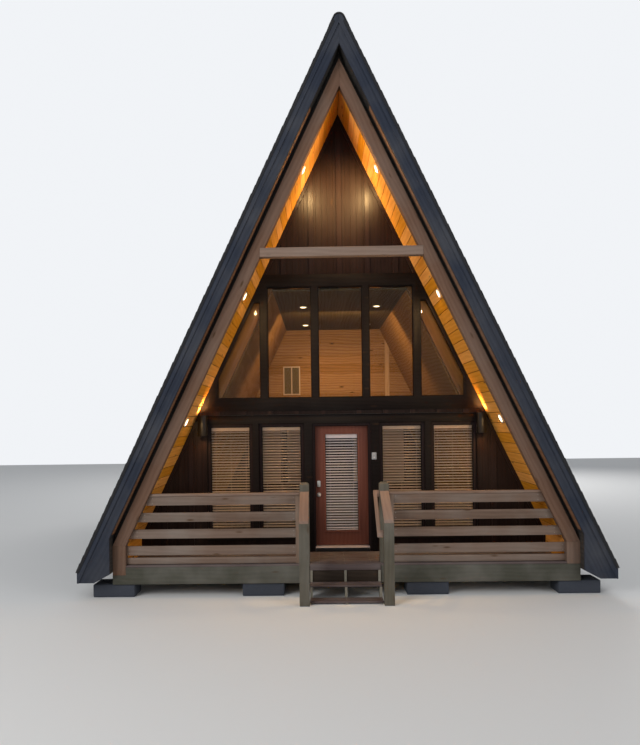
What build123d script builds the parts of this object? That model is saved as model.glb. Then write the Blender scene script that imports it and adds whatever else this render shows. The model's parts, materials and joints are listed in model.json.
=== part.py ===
from build123d import *
from math import cos, radians, sin, tan
import os

# An A-frame cabin, in millimetres. X runs along the front, Y from the front to the back, Z up.
# In the sizes and functions below, y = 0 is the outer face of the front wall and x = 0 the ridge line.

# Section of the A-frame
roof_pitch = 64.3
soffit_half_width = 3600
knee_inset = 150
eave_overhang = 502.5
eave_height = 270
eave_tail_run = 242
eave_tail_rise = 130
lining_thickness = 20
frame_zone_depth = 249
fascia_band_depth = 133
rake_band_depth = 99
roofing_thickness = 12
ridge_radius = 76
ridge_cap_leg = 160
ridge_cap_thickness = 10
eave_drip = 40

# Plan, from front to back
house_depth = 9750
front_overhang = 1030
fascia_reach = 170
rear_overhang = 600
fascia_thickness = 40
rake_proud = 18
roofing_proud = 12

# Levels and storeys
deck_height = 500
deck_board_thickness = 30
rim_height = 265
floor_finish = 55
storey_line_rise = 267
upper_sill_rise = 223
upper_head_rise = 2125
gable_line_rise = 2330
upper_floor_top_rise = 30
upper_floor_thickness = 250
ceiling_drop = 45
upper_ceiling_thickness = 30
upper_wall_thickness = 100
upper_room_depth = 5230
grille_left = 1254
grille_width = 421
grille_bottom_rise = 470
grille_height = 710
grille_thickness = 20
grille_frame = 28

# Timbers
timber_depth = 187
timber_thickness = 140
left_foot_lap = 120
tie_height = 143
tie_bottom_rise = 2400
rafter_depth = 235
rafter_thickness = 90
rafter_pairs = 9

# Walls and trim
wall_thickness = 150
trim_thickness = 25
door_trim_width = 90
casing_margin = 50
casing_side = 10
casing_top_drop = 165
window_head_gap = 51
head_trim_height = 95

# Lower windows
window_glass_bottom_rise = 334
window_start_gap = 51
window_mullion = 100
window_side_clearance = 237.27
window_frame_width = 50
window_frame_depth = 100
window_frame_setback = 20
glass_thickness = 24
glass_setback = 35
blind_thickness = 20
blind_setback = 75
blind_side_gap = 6

# Upper windows
centre_pane_half = 378
side_pane_inner = 495
side_pane_clearance = 162.6
upper_post_width = 125
slant_pane_clearance = 211
slant_head_width = 116
slant_pane_margin = 40
upper_glass_setback = 60

# Front door
door_width = 914
door_height = 2060
door_bottom_rise = 93
door_thickness = 45
door_gap = 6
jamb_thickness = 38
stop_thickness = 12
stop_depth = 40
door_glass_width = 558
door_glass_bottom_rise = 341
door_glass_top_rail = 146
lite_frame_width = 32
lite_frame_proud = 10
hinge_offset = 7
hinge_radius = 6
hinge_pin_radius = 3
hinge_length = 99
hinge_play = 0.3
hinge_plate_width = 33
hinge_plate_thickness = 3
threshold_gap = 6
threshold_proud = 20
knob_inset = 59
knob_height_rise = 962
knob_radius = 28
knob_reach = 62
lock_height_rise = 1153
lock_width = 58
lock_length = 104
lock_thickness = 24

# Deck, stair and railings
deck_board_width = 140
deck_board_gap = 7
deck_boards_across = 7
joist_thickness = 38
joist_pitch = 406
pier_width = 660
pier_depth = 400
pier_setback = 30
centre_pier_offset = 1290
corner_pier_inset = 7.5
foundation_thickness = 200
post_size = 150
post_offset = 629
deck_post_rise = 134
post_bevel = 28
newel_reach = 610
rail_thickness = 38
rail_board_height = 145
rail_pitch = 262
rail_boards = 4
rail_top = 1117
rail_cap_thickness = 38
rail_cap_depth = 90
rail_cap_lip = 25
railing_setback = 70
kick_board_height = 100
kick_board_gap = 10
cleat_width = 70
stair_cap_width = 140
stair_cap_thickness = 38
stair_cap_top = 1130
stair_cap_foot = 763
handrail_width = 58
handrail_depth = 45
handrail_gap = 38
handrail_top = 1140
handrail_foot = 560
handrail_return = 60
tread_depth = 245
tread_thickness = 28
tread_board_gap = 5
upper_tread = 228
lower_tread = 46
tread_side_gap = 4
stringer_thickness = 38
stringer_ledge = 25
stringer_heel = 60
stringer_toe = 100
nosing_thickness = 19
nosing_height = 95

# Lamps and door bell
lamp_clearance = 44
lamp_centre_drop = 240
lamp_radius = 84
lamp_length = 350
lamp_reach = 145
lamp_rim = 8
lamp_recess = 30
lamp_plate_width = 80
lamp_plate_length = 160
lamp_plate_thickness = 20
lamp_plate_bottom_drop = 400
lamp_arm = 44
soffit_light_radius = 75
soffit_light_thickness = 14
soffit_light_setback = 110
soffit_light_first_rise = 2245
soffit_light_pitch = 2005
soffit_lights = 3
ceiling_light_offset = 725
ceiling_light_shift = 60
ceiling_light_depth = 1840
ceiling_light_pitch = 2600
bell_offset = 550
bell_height_rise = 1630
bell_width = 80
bell_length = 120
bell_thickness = 25

# Sizes that follow from the ones above
pitch_sin = sin(radians(roof_pitch))
pitch_cos = cos(radians(roof_pitch))
pitch_tan = tan(radians(roof_pitch))
roof_depth = frame_zone_depth + fascia_band_depth + rake_band_depth
deck_post_height = stair_cap_top + deck_post_rise
door_bottom = deck_height + door_bottom_rise
door_top = door_bottom + door_height
storey_line = door_top + storey_line_rise
door_glass_bottom = deck_height + door_glass_bottom_rise
door_glass_height = door_top - door_glass_top_rail - door_glass_bottom
knob_height = deck_height + knob_height_rise
lock_height = deck_height + lock_height_rise
window_glass_bottom = deck_height + window_glass_bottom_rise
casing_top = storey_line - casing_top_drop
bell_height = deck_height + bell_height_rise
soffit_light_first = deck_height + soffit_light_first_rise
upper_sill = storey_line + upper_sill_rise
upper_head = storey_line + upper_head_rise
gable_line = storey_line + gable_line_rise
upper_floor_top = storey_line + upper_floor_top_rise
grille_bottom = storey_line + grille_bottom_rise
lamp_centre = storey_line - lamp_centre_drop
lamp_plate_bottom = storey_line - lamp_plate_bottom_drop
tie_bottom = storey_line + tie_bottom_rise
knee_half_width = soffit_half_width - knee_inset
partition_front = wall_thickness + upper_room_depth
partition_back = partition_front + upper_wall_thickness
platform_half_width = knee_half_width + timber_depth / pitch_sin
eave_half_width = platform_half_width + eave_overhang
rim_top = deck_height - deck_board_thickness
upper_ceiling_height = upper_head - ceiling_drop
window_glass_height = casing_top - window_head_gap - window_frame_width - window_glass_bottom
corner_pier_offset = platform_half_width - corner_pier_inset
rim_bottom = rim_top - rim_height
floor_top = deck_height + floor_finish
timber_front = -front_overhang
timber_back = timber_front + timber_thickness
rail_front = timber_front + railing_setback
roof_front = timber_front - fascia_reach + fascia_thickness
rear_edge = house_depth + rear_overhang
rear_wall_inner = house_depth - wall_thickness
opening_half = door_width / 2 + door_gap + jamb_thickness
hinge_x = door_width / 2 + door_gap / 2
hinge_y = wall_thickness + hinge_offset
newel_front = timber_front - newel_reach
rear_reach = rear_edge + roofing_proud
origin_y = (newel_front + rear_reach) / 2


def slope_x(z, offset=0):
    """Half width at height z of the plane this far outside the soffit."""
    return soffit_half_width + offset / pitch_sin - (z - deck_height) / pitch_tan


def slope_z(x, offset=0):
    """Height at half width x of the plane this far outside the soffit."""
    return deck_height + (soffit_half_width + offset / pitch_sin - x) * pitch_tan


window_start = opening_half + door_trim_width + window_start_gap
window_reach = slope_x(window_glass_bottom + window_glass_height + window_frame_width) - window_side_clearance
window_glass_width = (window_reach - window_start - window_mullion) / 2 - 2 * window_frame_width
window_inner_centre = window_start + window_frame_width + window_glass_width / 2
window_outer_centre = window_reach - window_frame_width - window_glass_width / 2
side_pane_outer = slope_x(upper_head) - side_pane_clearance
slant_pane_inner = side_pane_outer + upper_post_width
slant_pane_outer = slope_x(upper_sill) - slant_pane_clearance
slant_pane_head = slope_z(slant_pane_inner + slant_head_width, -slant_pane_margin)
lamp_offset = window_reach + casing_side + lamp_clearance


def block(x0, x1, y0, y1, z0, z1):
    """A box between two corners."""
    return Pos((x0 + x1) / 2, (y0 + y1) / 2, (z0 + z1) / 2) * Box(abs(x1 - x0), abs(y1 - y0), abs(z1 - z0))


def front_prism(points, y0, y1):
    """A prism whose outline is drawn on the front view."""
    outline = Polyline(*[(x, y0, z) for x, z in points], close=True)
    return extrude(make_face(outline), amount=y1 - y0, dir=(0, 1, 0))


def side_prism(points, x0, x1):
    """A prism whose outline is drawn on the side view."""
    outline = Polyline(*[(x0, y, z) for y, z in points], close=True)
    return extrude(make_face(outline), amount=x1 - x0, dir=(1, 0, 0))


def mirrored(shape):
    """The same shape on the other side of the ridge line."""
    return mirror(shape, about=Plane.YZ)


def both_sides(shape):
    """A shape and its mirror image, as separate solids."""
    return Compound(children=[shape, mirrored(shape)])


def grouped(shapes):
    """Separate solids in one node."""
    return Compound(children=list(shapes))


def gable_outline(z0, z1, offset=0):
    """The outline of the A between two heights."""
    low = slope_x(z0, offset)
    high = slope_x(z1, offset)
    if high <= 0:
        return [(-low, z0), (low, z0), (0, slope_z(0, offset))]
    return [(-low, z0), (low, z0), (high, z1), (-high, z1)]


def ridge_arc(offset, y):
    """The arc over the ridge on one surface of the roof, from the crown down to the slope."""
    radius = ridge_radius + offset - roof_depth
    centre = slope_z(0, offset - radius)
    middle = radians(90 - roof_pitch / 2)
    tangent = (radius * pitch_sin, y, centre + radius * pitch_cos)
    crown = (0, y, centre + radius)
    return ThreePointArc(crown, (radius * cos(middle), y, centre + radius * sin(middle)), tangent)


def ridge_arc_face(inner, outer, foot, y):
    """One half of a roof layer's outline, with its ridge rounded on the outside."""
    crown = ridge_arc(outer, y)
    edges = [crown]
    points = [crown @ 1] + [(x, y, z) for x, z in foot]
    if inner >= roof_depth:
        inside = ridge_arc(inner, y)
        edges.append(inside)
        points.append(inside @ 1)
        edges.append(Line(inside @ 0, crown @ 0))
    else:
        points += [(0, y, slope_z(0, inner)), crown @ 0]
    edges += Polyline(*points).edges()
    return make_face(Wire(edges))


def roof_layer(inner, outer, foot, y0, y1):
    """One half of a roof layer, from front to back."""
    return extrude(ridge_arc_face(inner, outer, foot, y0), amount=y1 - y0, dir=(0, 1, 0))


def eave_foot(outer):
    """The plumb cut, the level bottom and the rising tail of the roof's foot, from the outside in."""
    return [
        (eave_half_width, slope_z(eave_half_width, outer)),
        (eave_half_width, eave_height),
        (platform_half_width + eave_tail_run, eave_height),
        (platform_half_width, eave_height + eave_tail_rise),
    ]


def make_roof():
    """The right half of the roof: closed framing with a deeper edge in front of the timbers."""
    seat = [(platform_half_width, deck_height), (slope_x(deck_height, lining_thickness), deck_height)]
    main = roof_layer(lining_thickness, roof_depth, eave_foot(roof_depth) + seat,
                      timber_back, rear_edge - fascia_thickness)
    knee = [(platform_half_width, slope_z(platform_half_width, frame_zone_depth))]
    front = roof_layer(frame_zone_depth, roof_depth, eave_foot(roof_depth) + knee, roof_front, timber_back)
    return main + front


def make_front_fascia():
    """The right front fascia board, with the thicker rake board along its outer edge."""
    knee = [(platform_half_width, slope_z(platform_half_width, frame_zone_depth))]
    board = roof_layer(frame_zone_depth, roof_depth, eave_foot(roof_depth) + knee,
                       roof_front - fascia_thickness, roof_front)
    rake_inner = roof_depth - rake_band_depth
    rake_foot = [
        (eave_half_width, slope_z(eave_half_width, roof_depth)),
        (eave_half_width, eave_height),
        (slope_x(eave_height, rake_inner), eave_height),
    ]
    rake = roof_layer(rake_inner, roof_depth, rake_foot,
                      roof_front - fascia_thickness - rake_proud, roof_front)
    return board + rake


def make_rear_fascia():
    """The right rear fascia board, which closes the full depth of the roof."""
    seat = [(platform_half_width, deck_height), (slope_x(deck_height), deck_height)]
    return roof_layer(0, roof_depth, eave_foot(roof_depth) + seat, rear_edge - fascia_thickness, rear_edge)


def make_lining():
    """The right half of the board lining: the porch soffit and the ceiling in one plane."""
    outline = [
        (0, slope_z(0)),
        (slope_x(deck_height), deck_height),
        (slope_x(deck_height, lining_thickness), deck_height),
        (0, slope_z(0, lining_thickness)),
    ]
    return front_prism(outline, timber_back, rear_edge - fascia_thickness) + make_porch_side()


def make_roofing():
    """The right slope's roofing, which laps past the rakes and the eave."""
    outer = roof_depth + roofing_thickness
    drip = eave_half_width + eave_drip * pitch_cos
    foot = [
        (drip, slope_z(drip, outer)),
        (drip - roofing_thickness * pitch_sin, slope_z(drip, outer) - roofing_thickness * pitch_cos),
    ]
    front = roof_front - fascia_thickness - rake_proud - roofing_proud
    return roof_layer(roof_depth, outer, foot, front, rear_reach)


def make_ridge_cap():
    """The bent cap over the ridge."""
    inner = roof_depth + roofing_thickness
    outer = inner + ridge_cap_thickness
    radius = ridge_radius + roofing_thickness
    centre = slope_z(0, inner - radius)
    front = roof_front - fascia_thickness - rake_proud - roofing_proud

    def half(layer_radius):
        edge_x = layer_radius * pitch_sin + ridge_cap_leg * pitch_cos
        edge_z = centre + layer_radius * pitch_cos - ridge_cap_leg * pitch_sin
        return (edge_x, edge_z), (layer_radius * pitch_sin, centre + layer_radius * pitch_cos)

    big_edge, big_tangent = half(radius + outer - inner)
    small_edge, small_tangent = half(radius)

    def point(place, side=1):
        return (side * place[0], front, place[1])

    lines = [
        Line(point(big_edge), point(big_tangent)),
        ThreePointArc(point(big_tangent), (0, front, centre + radius + outer - inner), point(big_tangent, -1)),
        Line(point(big_tangent, -1), point(big_edge, -1)),
        Line(point(big_edge, -1), point(small_edge, -1)),
        Line(point(small_edge, -1), point(small_tangent, -1)),
        ThreePointArc(point(small_tangent, -1), (0, front, centre + radius), point(small_tangent)),
        Line(point(small_tangent), point(small_edge)),
        Line(point(small_edge), point(big_edge)),
    ]
    return extrude(make_face(Wire(lines)), amount=rear_reach - front, dir=(0, 1, 0))


def tie_block():
    """The collar tie, square at both ends, where its lower corners meet the timbers."""
    half = slope_x(tie_bottom)
    return block(-half, half, timber_front, timber_back, tie_bottom, tie_bottom + tie_height)


def make_front_timber():
    """The right timber under the front edge of the roof, housed for the tie and level at its foot."""
    foot = slope_z(knee_half_width)
    outline = [
        (0, slope_z(0)),
        (knee_half_width, foot),
        (slope_x(foot, timber_depth), foot),
        (0, slope_z(0, timber_depth)),
    ]
    return front_prism(outline, timber_front, timber_back) - tie_block()


def foot_block(lap=0):
    """The upright block under the right timber, which may lap down into the rim."""
    return block(knee_half_width, platform_half_width, timber_front, timber_back,
                 rim_top - lap, slope_z(knee_half_width))


def make_porch_side():
    """The low upright board that closes the corner of the soffit and the deck."""
    outline = [
        (knee_half_width, deck_height),
        (slope_x(deck_height), deck_height),
        (knee_half_width, slope_z(knee_half_width)),
    ]
    return front_prism(outline, timber_back, 0)


def rafter_fronts():
    """The front face of each rafter pair, evenly spread between the walls."""
    room = rear_wall_inner - wall_thickness - rafter_thickness
    return [wall_thickness + room * index / (rafter_pairs - 1) for index in range(rafter_pairs)]


def make_rafters():
    """The right rafters, open to the rooms, from the floor to the ridge."""
    outline = [
        (0, slope_z(0)),
        (slope_x(floor_top), floor_top),
        (slope_x(floor_top, -rafter_depth), floor_top),
        (0, slope_z(0, -rafter_depth)),
    ]
    return [front_prism(outline, front, front + rafter_thickness) for front in rafter_fronts()]


def cut_round_rafters(shape):
    """A floor, ceiling or wall notched round the rafters that pass it."""
    box = shape.bounding_box()
    for rafter in make_rafters():
        if rafter.bounding_box().min.Y < box.max.Y and rafter.bounding_box().max.Y > box.min.Y:
            shape = shape - rafter - mirrored(rafter)
    return shape


def make_upper_floor():
    """The upper floor, from wall to wall and between the slopes."""
    outline = gable_outline(upper_floor_top - upper_floor_thickness, upper_floor_top)
    return cut_round_rafters(front_prism(outline, wall_thickness, rear_wall_inner))


def make_upper_ceiling():
    """The level ceiling of the front upper room."""
    outline = gable_outline(upper_ceiling_height, upper_ceiling_height + upper_ceiling_thickness)
    return cut_round_rafters(front_prism(outline, wall_thickness, partition_back))


def make_upper_partition():
    """The boarded wall at the back of the front upper room."""
    outline = gable_outline(upper_floor_top, upper_ceiling_height)
    return cut_round_rafters(front_prism(outline, partition_front, partition_back))


def make_return_grille():
    """The air grille on the boarded wall, a frame with a bar in the middle."""
    back = partition_front
    right = grille_width - grille_left
    top = grille_bottom + grille_height
    grille = block(-grille_left, right, back - grille_thickness, back, grille_bottom, top)
    pane = (grille_width - 3 * grille_frame) / 2
    for left in (-grille_left + grille_frame, -grille_left + 2 * grille_frame + pane):
        grille = grille - block(left, left + pane, back - grille_thickness, back - grille_thickness / 2,
                                grille_bottom + grille_frame, top - grille_frame)
    return grille


def make_foundation():
    """The masonry ring under the house."""
    ring = block(-platform_half_width, platform_half_width, 0, house_depth, 0, rim_bottom)
    inner = platform_half_width - foundation_thickness
    return ring - block(-inner, inner, foundation_thickness, house_depth - foundation_thickness, 0, rim_bottom)


def make_deck_piers():
    """Masonry piers under the front edge of the deck."""
    front = timber_front + pier_setback
    piers = []
    for offset in (centre_pier_offset, corner_pier_offset):
        pier = block(offset - pier_width / 2, offset + pier_width / 2, front, front + pier_depth, 0, rim_bottom)
        piers += [pier, mirrored(pier)]
    return grouped(piers)


def make_platform():
    """The floor of the house: the closed joist platform and the raised finished floor on it."""
    base = block(-platform_half_width, platform_half_width, 0, house_depth, rim_bottom, deck_height)
    finish = front_prism(gable_outline(deck_height, floor_top), wall_thickness, rear_wall_inner)
    return base + finish


def make_deck_frame():
    """The rim, the end joists and the joists between them, under the porch boards."""
    half = platform_half_width
    frame = block(-half, half, timber_front, timber_front + joist_thickness, rim_bottom, rim_top)
    last = half - joist_thickness / 2
    places = [-last, last]
    count = int(last / joist_pitch)
    places += [index * joist_pitch for index in range(-count, count + 1) if last - abs(index) * joist_pitch > joist_thickness]
    for place in places:
        frame += block(place - joist_thickness / 2, place + joist_thickness / 2, timber_front, 0, rim_bottom, rim_top)
    return frame - mirrored(foot_block(left_foot_lap))


def make_deck_boards():
    """The porch boards, notched round the blocks under the timbers."""
    boards = []
    for index in range(deck_boards_across):
        back = -index * (deck_board_width + deck_board_gap)
        board = block(-platform_half_width, platform_half_width, back - deck_board_width, back, rim_top, deck_height)
        if back - deck_board_width < timber_back:
            board = board - foot_block() - mirrored(foot_block())
        boards.append(board)
    return grouped(boards)


def window_box(centre, y0, y1, grow=0):
    """The glass outline of a lower window, grown by a frame, between two planes."""
    half = window_glass_width / 2 + grow
    low = window_glass_bottom - grow
    high = window_glass_bottom + window_glass_height + grow
    return block(centre - half, centre + half, y0, y1, low, high)


def window_centres():
    """The centres of the four lower windows of a gable wall."""
    return [-window_outer_centre, -window_inner_centre, window_inner_centre, window_outer_centre]


def wall_planes(rear):
    """The outer face of a gable wall and the direction into the house."""
    return (house_depth, -1) if rear else (0, 1)


def make_front_wall_side():
    """The ground floor wall to the right of the door, cut for its two windows."""
    outline = [
        (opening_half, deck_height),
        (slope_x(deck_height), deck_height),
        (slope_x(storey_line), storey_line),
        (opening_half, storey_line),
    ]
    wall = front_prism(outline, 0, wall_thickness)
    for centre in (window_inner_centre, window_outer_centre):
        wall = wall - window_box(centre, 0, wall_thickness, window_frame_width)
    return wall


def make_wall_over_door():
    """The wall above the door head."""
    head = door_top + door_gap + jamb_thickness
    return block(-opening_half, opening_half, 0, wall_thickness, head, storey_line)


def upper_pane_outlines():
    """The outlines of the five upper windows, on the front view."""
    margin = -slant_pane_margin
    slant = [
        (slant_pane_inner, upper_sill),
        (slant_pane_outer, upper_sill),
        (slant_pane_outer, slope_z(slant_pane_outer, margin)),
        (slope_x(slant_pane_head, margin), slant_pane_head),
        (slant_pane_inner, slant_pane_head),
    ]

    def upright(x0, x1):
        return [(x0, upper_sill), (x1, upper_sill), (x1, upper_head), (x0, upper_head)]

    outlines = [upright(-centre_pane_half, centre_pane_half), upright(side_pane_inner, side_pane_outer), slant]
    outlines.append([(-x, z) for x, z in reversed(outlines[1])])
    outlines.append([(-x, z) for x, z in reversed(slant)])
    return outlines


def make_upper_wall():
    """The upper storey's wall: the posts and rails between its five windows."""
    wall = front_prism(gable_outline(storey_line, gable_line), 0, wall_thickness)
    for outline in upper_pane_outlines():
        wall = wall - front_prism(outline, 0, wall_thickness)
    return wall


def make_front_gable():
    """The closed triangle above the upper windows."""
    return front_prism(gable_outline(gable_line, slope_z(0)), 0, wall_thickness)


def make_front_trim():
    """The casing round the lower windows and the door, and the one round the upper windows."""
    head = casing_top + head_trim_height
    lower = front_prism(gable_outline(casing_top, head), -trim_thickness, 0)
    surround = opening_half + door_trim_width
    lower += block(-surround, surround, -trim_thickness, 0, deck_height, casing_top)
    reach = window_outer_centre + window_glass_width / 2 + window_frame_width + casing_side
    sill = window_glass_bottom - window_frame_width - casing_margin
    for side in (-1, 1):
        lower += block(side * surround, side * reach, -trim_thickness, 0, sill, casing_top)
    for centre in window_centres():
        lower = lower - window_box(centre, -trim_thickness, 0, window_frame_width)
    doorway = door_top + door_gap + jamb_thickness
    lower = lower - block(-opening_half, opening_half, -trim_thickness, 0, deck_height, doorway)
    upper = front_prism(gable_outline(storey_line, gable_line), -trim_thickness, 0)
    for outline in upper_pane_outlines():
        upper = upper - front_prism(outline, -trim_thickness, 0)
    return grouped([lower, upper])


def make_rear_wall():
    """The rear gable wall, with the lower windows and the upright upper windows repeated."""
    wall = front_prism(gable_outline(deck_height, slope_z(0)), rear_wall_inner, house_depth)
    for centre in window_centres():
        wall = wall - window_box(centre, rear_wall_inner, house_depth, window_frame_width)
    for outline in rear_pane_outlines():
        wall = wall - front_prism(outline, rear_wall_inner, house_depth)
    return wall


def rear_pane_outlines():
    """The three upright upper windows, which the rear wall repeats."""
    outlines = upper_pane_outlines()
    return [outlines[0], outlines[1], outlines[3]]


def make_window_frames(rear):
    """The frames of the lower windows of one gable wall."""
    face, inward = wall_planes(rear)
    y0 = face + inward * window_frame_setback
    y1 = y0 + inward * window_frame_depth
    frames = []
    for centre in window_centres():
        frame = window_box(centre, y0, y1, window_frame_width) - window_box(centre, y0, y1)
        frames.append(frame)
    return frames


def make_glass(rear):
    """The panes of one gable wall."""
    face, inward = wall_planes(rear)
    y0 = face + inward * (window_frame_setback + glass_setback)
    panes = [window_box(centre, y0, y0 + inward * glass_thickness) for centre in window_centres()]
    upper = face + inward * upper_glass_setback
    low, high = sorted((upper, upper + inward * glass_thickness))
    outlines = rear_pane_outlines() if rear else upper_pane_outlines()
    panes += [front_prism(outline, low, high) for outline in outlines]
    return panes


def make_blinds():
    """The closed blinds inside the lower windows of both gable walls, hung from the frames."""
    blinds = []
    for rear in (False, True):
        face, inward = wall_planes(rear)
        y0 = face + inward * (window_frame_setback + blind_setback)
        for centre in window_centres():
            half = window_glass_width / 2 - blind_side_gap
            top = window_glass_bottom + window_glass_height
            blinds.append(block(centre - half, centre + half, y0, y0 + inward * blind_thickness,
                                window_glass_bottom + blind_side_gap, top))
    return grouped(blinds)


def make_door_frame():
    """The jambs and head of the front door, with the stop that the leaf closes against."""
    inner = door_width / 2 + door_gap
    head = door_top + door_gap
    frame = block(-opening_half, opening_half, 0, wall_thickness, deck_height, head + jamb_thickness)
    frame = frame - block(-inner, inner, 0, wall_thickness, deck_height, head)
    leaf_front = wall_thickness - door_thickness
    stop_back = leaf_front - door_gap
    stop = block(-inner, inner, stop_back - stop_depth, stop_back, threshold_top(), head)
    opening = block(-inner + stop_thickness, inner - stop_thickness, stop_back - stop_depth, stop_back,
                    threshold_top(), head - stop_thickness)
    frame += stop - opening
    for centre in hinge_centres():
        frame += jamb_hinge(centre)
    return frame


def threshold_top():
    """The top of the threshold, just under the leaf."""
    return door_bottom - threshold_gap


def make_threshold():
    """The threshold between the jambs, with its front edge sloped to shed water."""
    half = door_width / 2 + door_gap
    top = threshold_top()
    outline = [
        (-threshold_proud, deck_height),
        (wall_thickness, deck_height),
        (wall_thickness, top),
        (threshold_proud, top),
        (-threshold_proud, top - threshold_proud),
    ]
    nose = side_prism(outline, -half, half)
    return nose


def make_door_leaf():
    """The door leaf with its glazed opening and the raised frame round it on both faces."""
    half = door_width / 2
    glass_half = door_glass_width / 2
    y0 = wall_thickness - door_thickness
    z1 = door_glass_bottom + door_glass_height
    leaf = block(-half, half, y0, wall_thickness, door_bottom, door_top)
    rim = lite_frame_width
    for face, outward in ((y0, -1), (wall_thickness, 1)):
        leaf += block(-glass_half - rim, glass_half + rim, face, face + outward * lite_frame_proud,
                      door_glass_bottom - rim, z1 + rim)
    hole = block(-glass_half, glass_half, y0 - lite_frame_proud, wall_thickness + lite_frame_proud,
                 door_glass_bottom, z1)
    return leaf - hole


def make_door_glass():
    """The sealed pane of the door."""
    half = door_glass_width / 2
    middle = wall_thickness - door_thickness / 2
    return block(-half, half, middle - glass_thickness / 2, middle + glass_thickness / 2,
                 door_glass_bottom, door_glass_bottom + door_glass_height)


def make_door_blind():
    """The closed slats behind the door's pane, hung in the glazed opening."""
    half = door_glass_width / 2 - blind_side_gap
    back = wall_thickness - door_thickness / 2 + glass_thickness / 2
    return block(-half, half, back, back + blind_thickness * 0.7,
                 door_glass_bottom + blind_side_gap, door_glass_bottom + door_glass_height)


def knob(face, outward):
    """A turned knob on its round plate, on one face of the door."""
    plate = lock_thickness / 3
    neck = knob_radius * 0.4
    profile = Polyline(
        (0, 0), (knob_radius, 0), (knob_radius, plate), (neck, plate),
        (neck, knob_reach / 2), (knob_radius * 0.8, knob_reach * 0.62),
        (knob_radius, knob_reach * 0.82), (knob_radius * 0.7, knob_reach), (0, knob_reach), close=True,
    )
    turned = revolve(make_face(profile), axis=Axis.Y)
    if outward < 0:
        turned = mirror(turned, about=Plane.XZ)
    return Pos(-door_width / 2 + knob_inset, face, knob_height) * turned


def make_door_hardware():
    """The knobs, the lock cases and the hinge barrels."""
    lock_x = -door_width / 2 + knob_inset
    pieces = []
    for face, outward in ((wall_thickness - door_thickness, -1), (wall_thickness, 1)):
        pieces.append(knob(face, outward))
        case = block(lock_x - lock_width / 2, lock_x + lock_width / 2, face, face + outward * lock_thickness,
                     lock_height - lock_length / 2, lock_height + lock_length / 2)
        pieces.append(fillet(case.edges().filter_by(Axis.Y), lock_width * 0.3))
    pieces += [hinge(centre) for centre in hinge_centres()]
    return grouped(pieces)


def hinge_centres():
    """The heights of the three hinges."""
    return [door_bottom + door_height * share for share in (0.12, 0.5, 0.88)]


def knuckle(centre, radius, length):
    """A round piece on the hinge axis."""
    return Pos(hinge_x, hinge_y, centre) * Cylinder(radius, length)


def hinge(centre):
    """The leaf's half of a hinge: the pin, its two end knuckles and their plates."""
    third = hinge_length / 3
    half = knuckle(centre, hinge_pin_radius, hinge_length)
    for place in (centre - third, centre + third):
        half += knuckle(place, hinge_radius, third - hinge_play)
        half += block(door_width / 2 - hinge_plate_width, hinge_x, wall_thickness,
                      wall_thickness + hinge_plate_thickness,
                      place - (third - hinge_play) / 2, place + (third - hinge_play) / 2)
    return half


def jamb_hinge(centre):
    """The jamb's half of a hinge: the middle knuckle and its plate."""
    third = hinge_length / 3 - hinge_play
    edge = door_width / 2 + door_gap + hinge_plate_width
    half = block(hinge_x, edge, wall_thickness, wall_thickness + hinge_plate_thickness,
                 centre - third / 2, centre + third / 2)
    half += knuckle(centre, hinge_radius, third)
    return half - knuckle(centre, hinge_pin_radius + hinge_play, third)


def make_deck_post():
    """The right post at the edge of the deck, with a bevelled top."""
    half = post_size / 2
    post = block(post_offset - half, post_offset + half, rail_front, rail_front + post_size,
                 deck_height, deck_height + deck_post_height)
    return chamfer(post.edges().group_by(Axis.Z)[-1], post_bevel)


def cap_line(y, drop=0):
    """The height of the sloping cap at y, measured down from its top."""
    run = newel_front - rail_front
    rise = (stair_cap_foot - stair_cap_top) / run
    slope = (1 + rise * rise) ** 0.5
    return deck_height + stair_cap_top + rise * (y - rail_front) - drop * slope


def make_newel():
    """The right post at the foot of the stair, cut to the slope of the cap on it."""
    half = post_size / 2
    outline = [
        (newel_front, 0),
        (newel_front + post_size, 0),
        (newel_front + post_size, cap_line(newel_front + post_size, stair_cap_thickness)),
        (newel_front, cap_line(newel_front, stair_cap_thickness)),
    ]
    return side_prism(outline, post_offset - half, post_offset + half)


def make_stair_posts():
    """The four posts of the stair."""
    return grouped([make_deck_post(), mirrored(make_deck_post()), make_newel(), mirrored(make_newel())])


def make_stair_caps():
    """The sloping caps between the posts."""
    outline = [
        (rail_front, cap_line(rail_front)),
        (rail_front, cap_line(rail_front, stair_cap_thickness)),
        (newel_front, cap_line(newel_front, stair_cap_thickness)),
        (newel_front, cap_line(newel_front)),
    ]
    half = stair_cap_width / 2
    return both_sides(side_prism(outline, post_offset - half, post_offset + half))


def make_handrail():
    """The grab rail inside the right posts, with a return into the post at each end."""
    face = post_offset - post_size / 2
    outer = face - handrail_gap
    start = rail_front + handrail_return
    run = newel_front + post_size / 4 - start
    rise = (handrail_foot - handrail_top) / run
    depth = handrail_depth * (1 + rise * rise) ** 0.5

    def stretch(y0, y1, x0, x1):
        top0 = deck_height + handrail_top + rise * (y0 - start)
        top1 = deck_height + handrail_top + rise * (y1 - start)
        return side_prism([(y0, top0), (y0, top0 - depth), (y1, top1 - depth), (y1, top1)], x0, x1)

    rail = stretch(start, start + run, outer - handrail_width, outer)
    rail += stretch(start, start - handrail_return, outer, face)
    return rail + stretch(start + run, start + run + handrail_return, outer, face)


def tread_back(step):
    """The rear edge of a tread, counted down from the deck."""
    return timber_front - stringer_ledge - step * tread_depth


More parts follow.
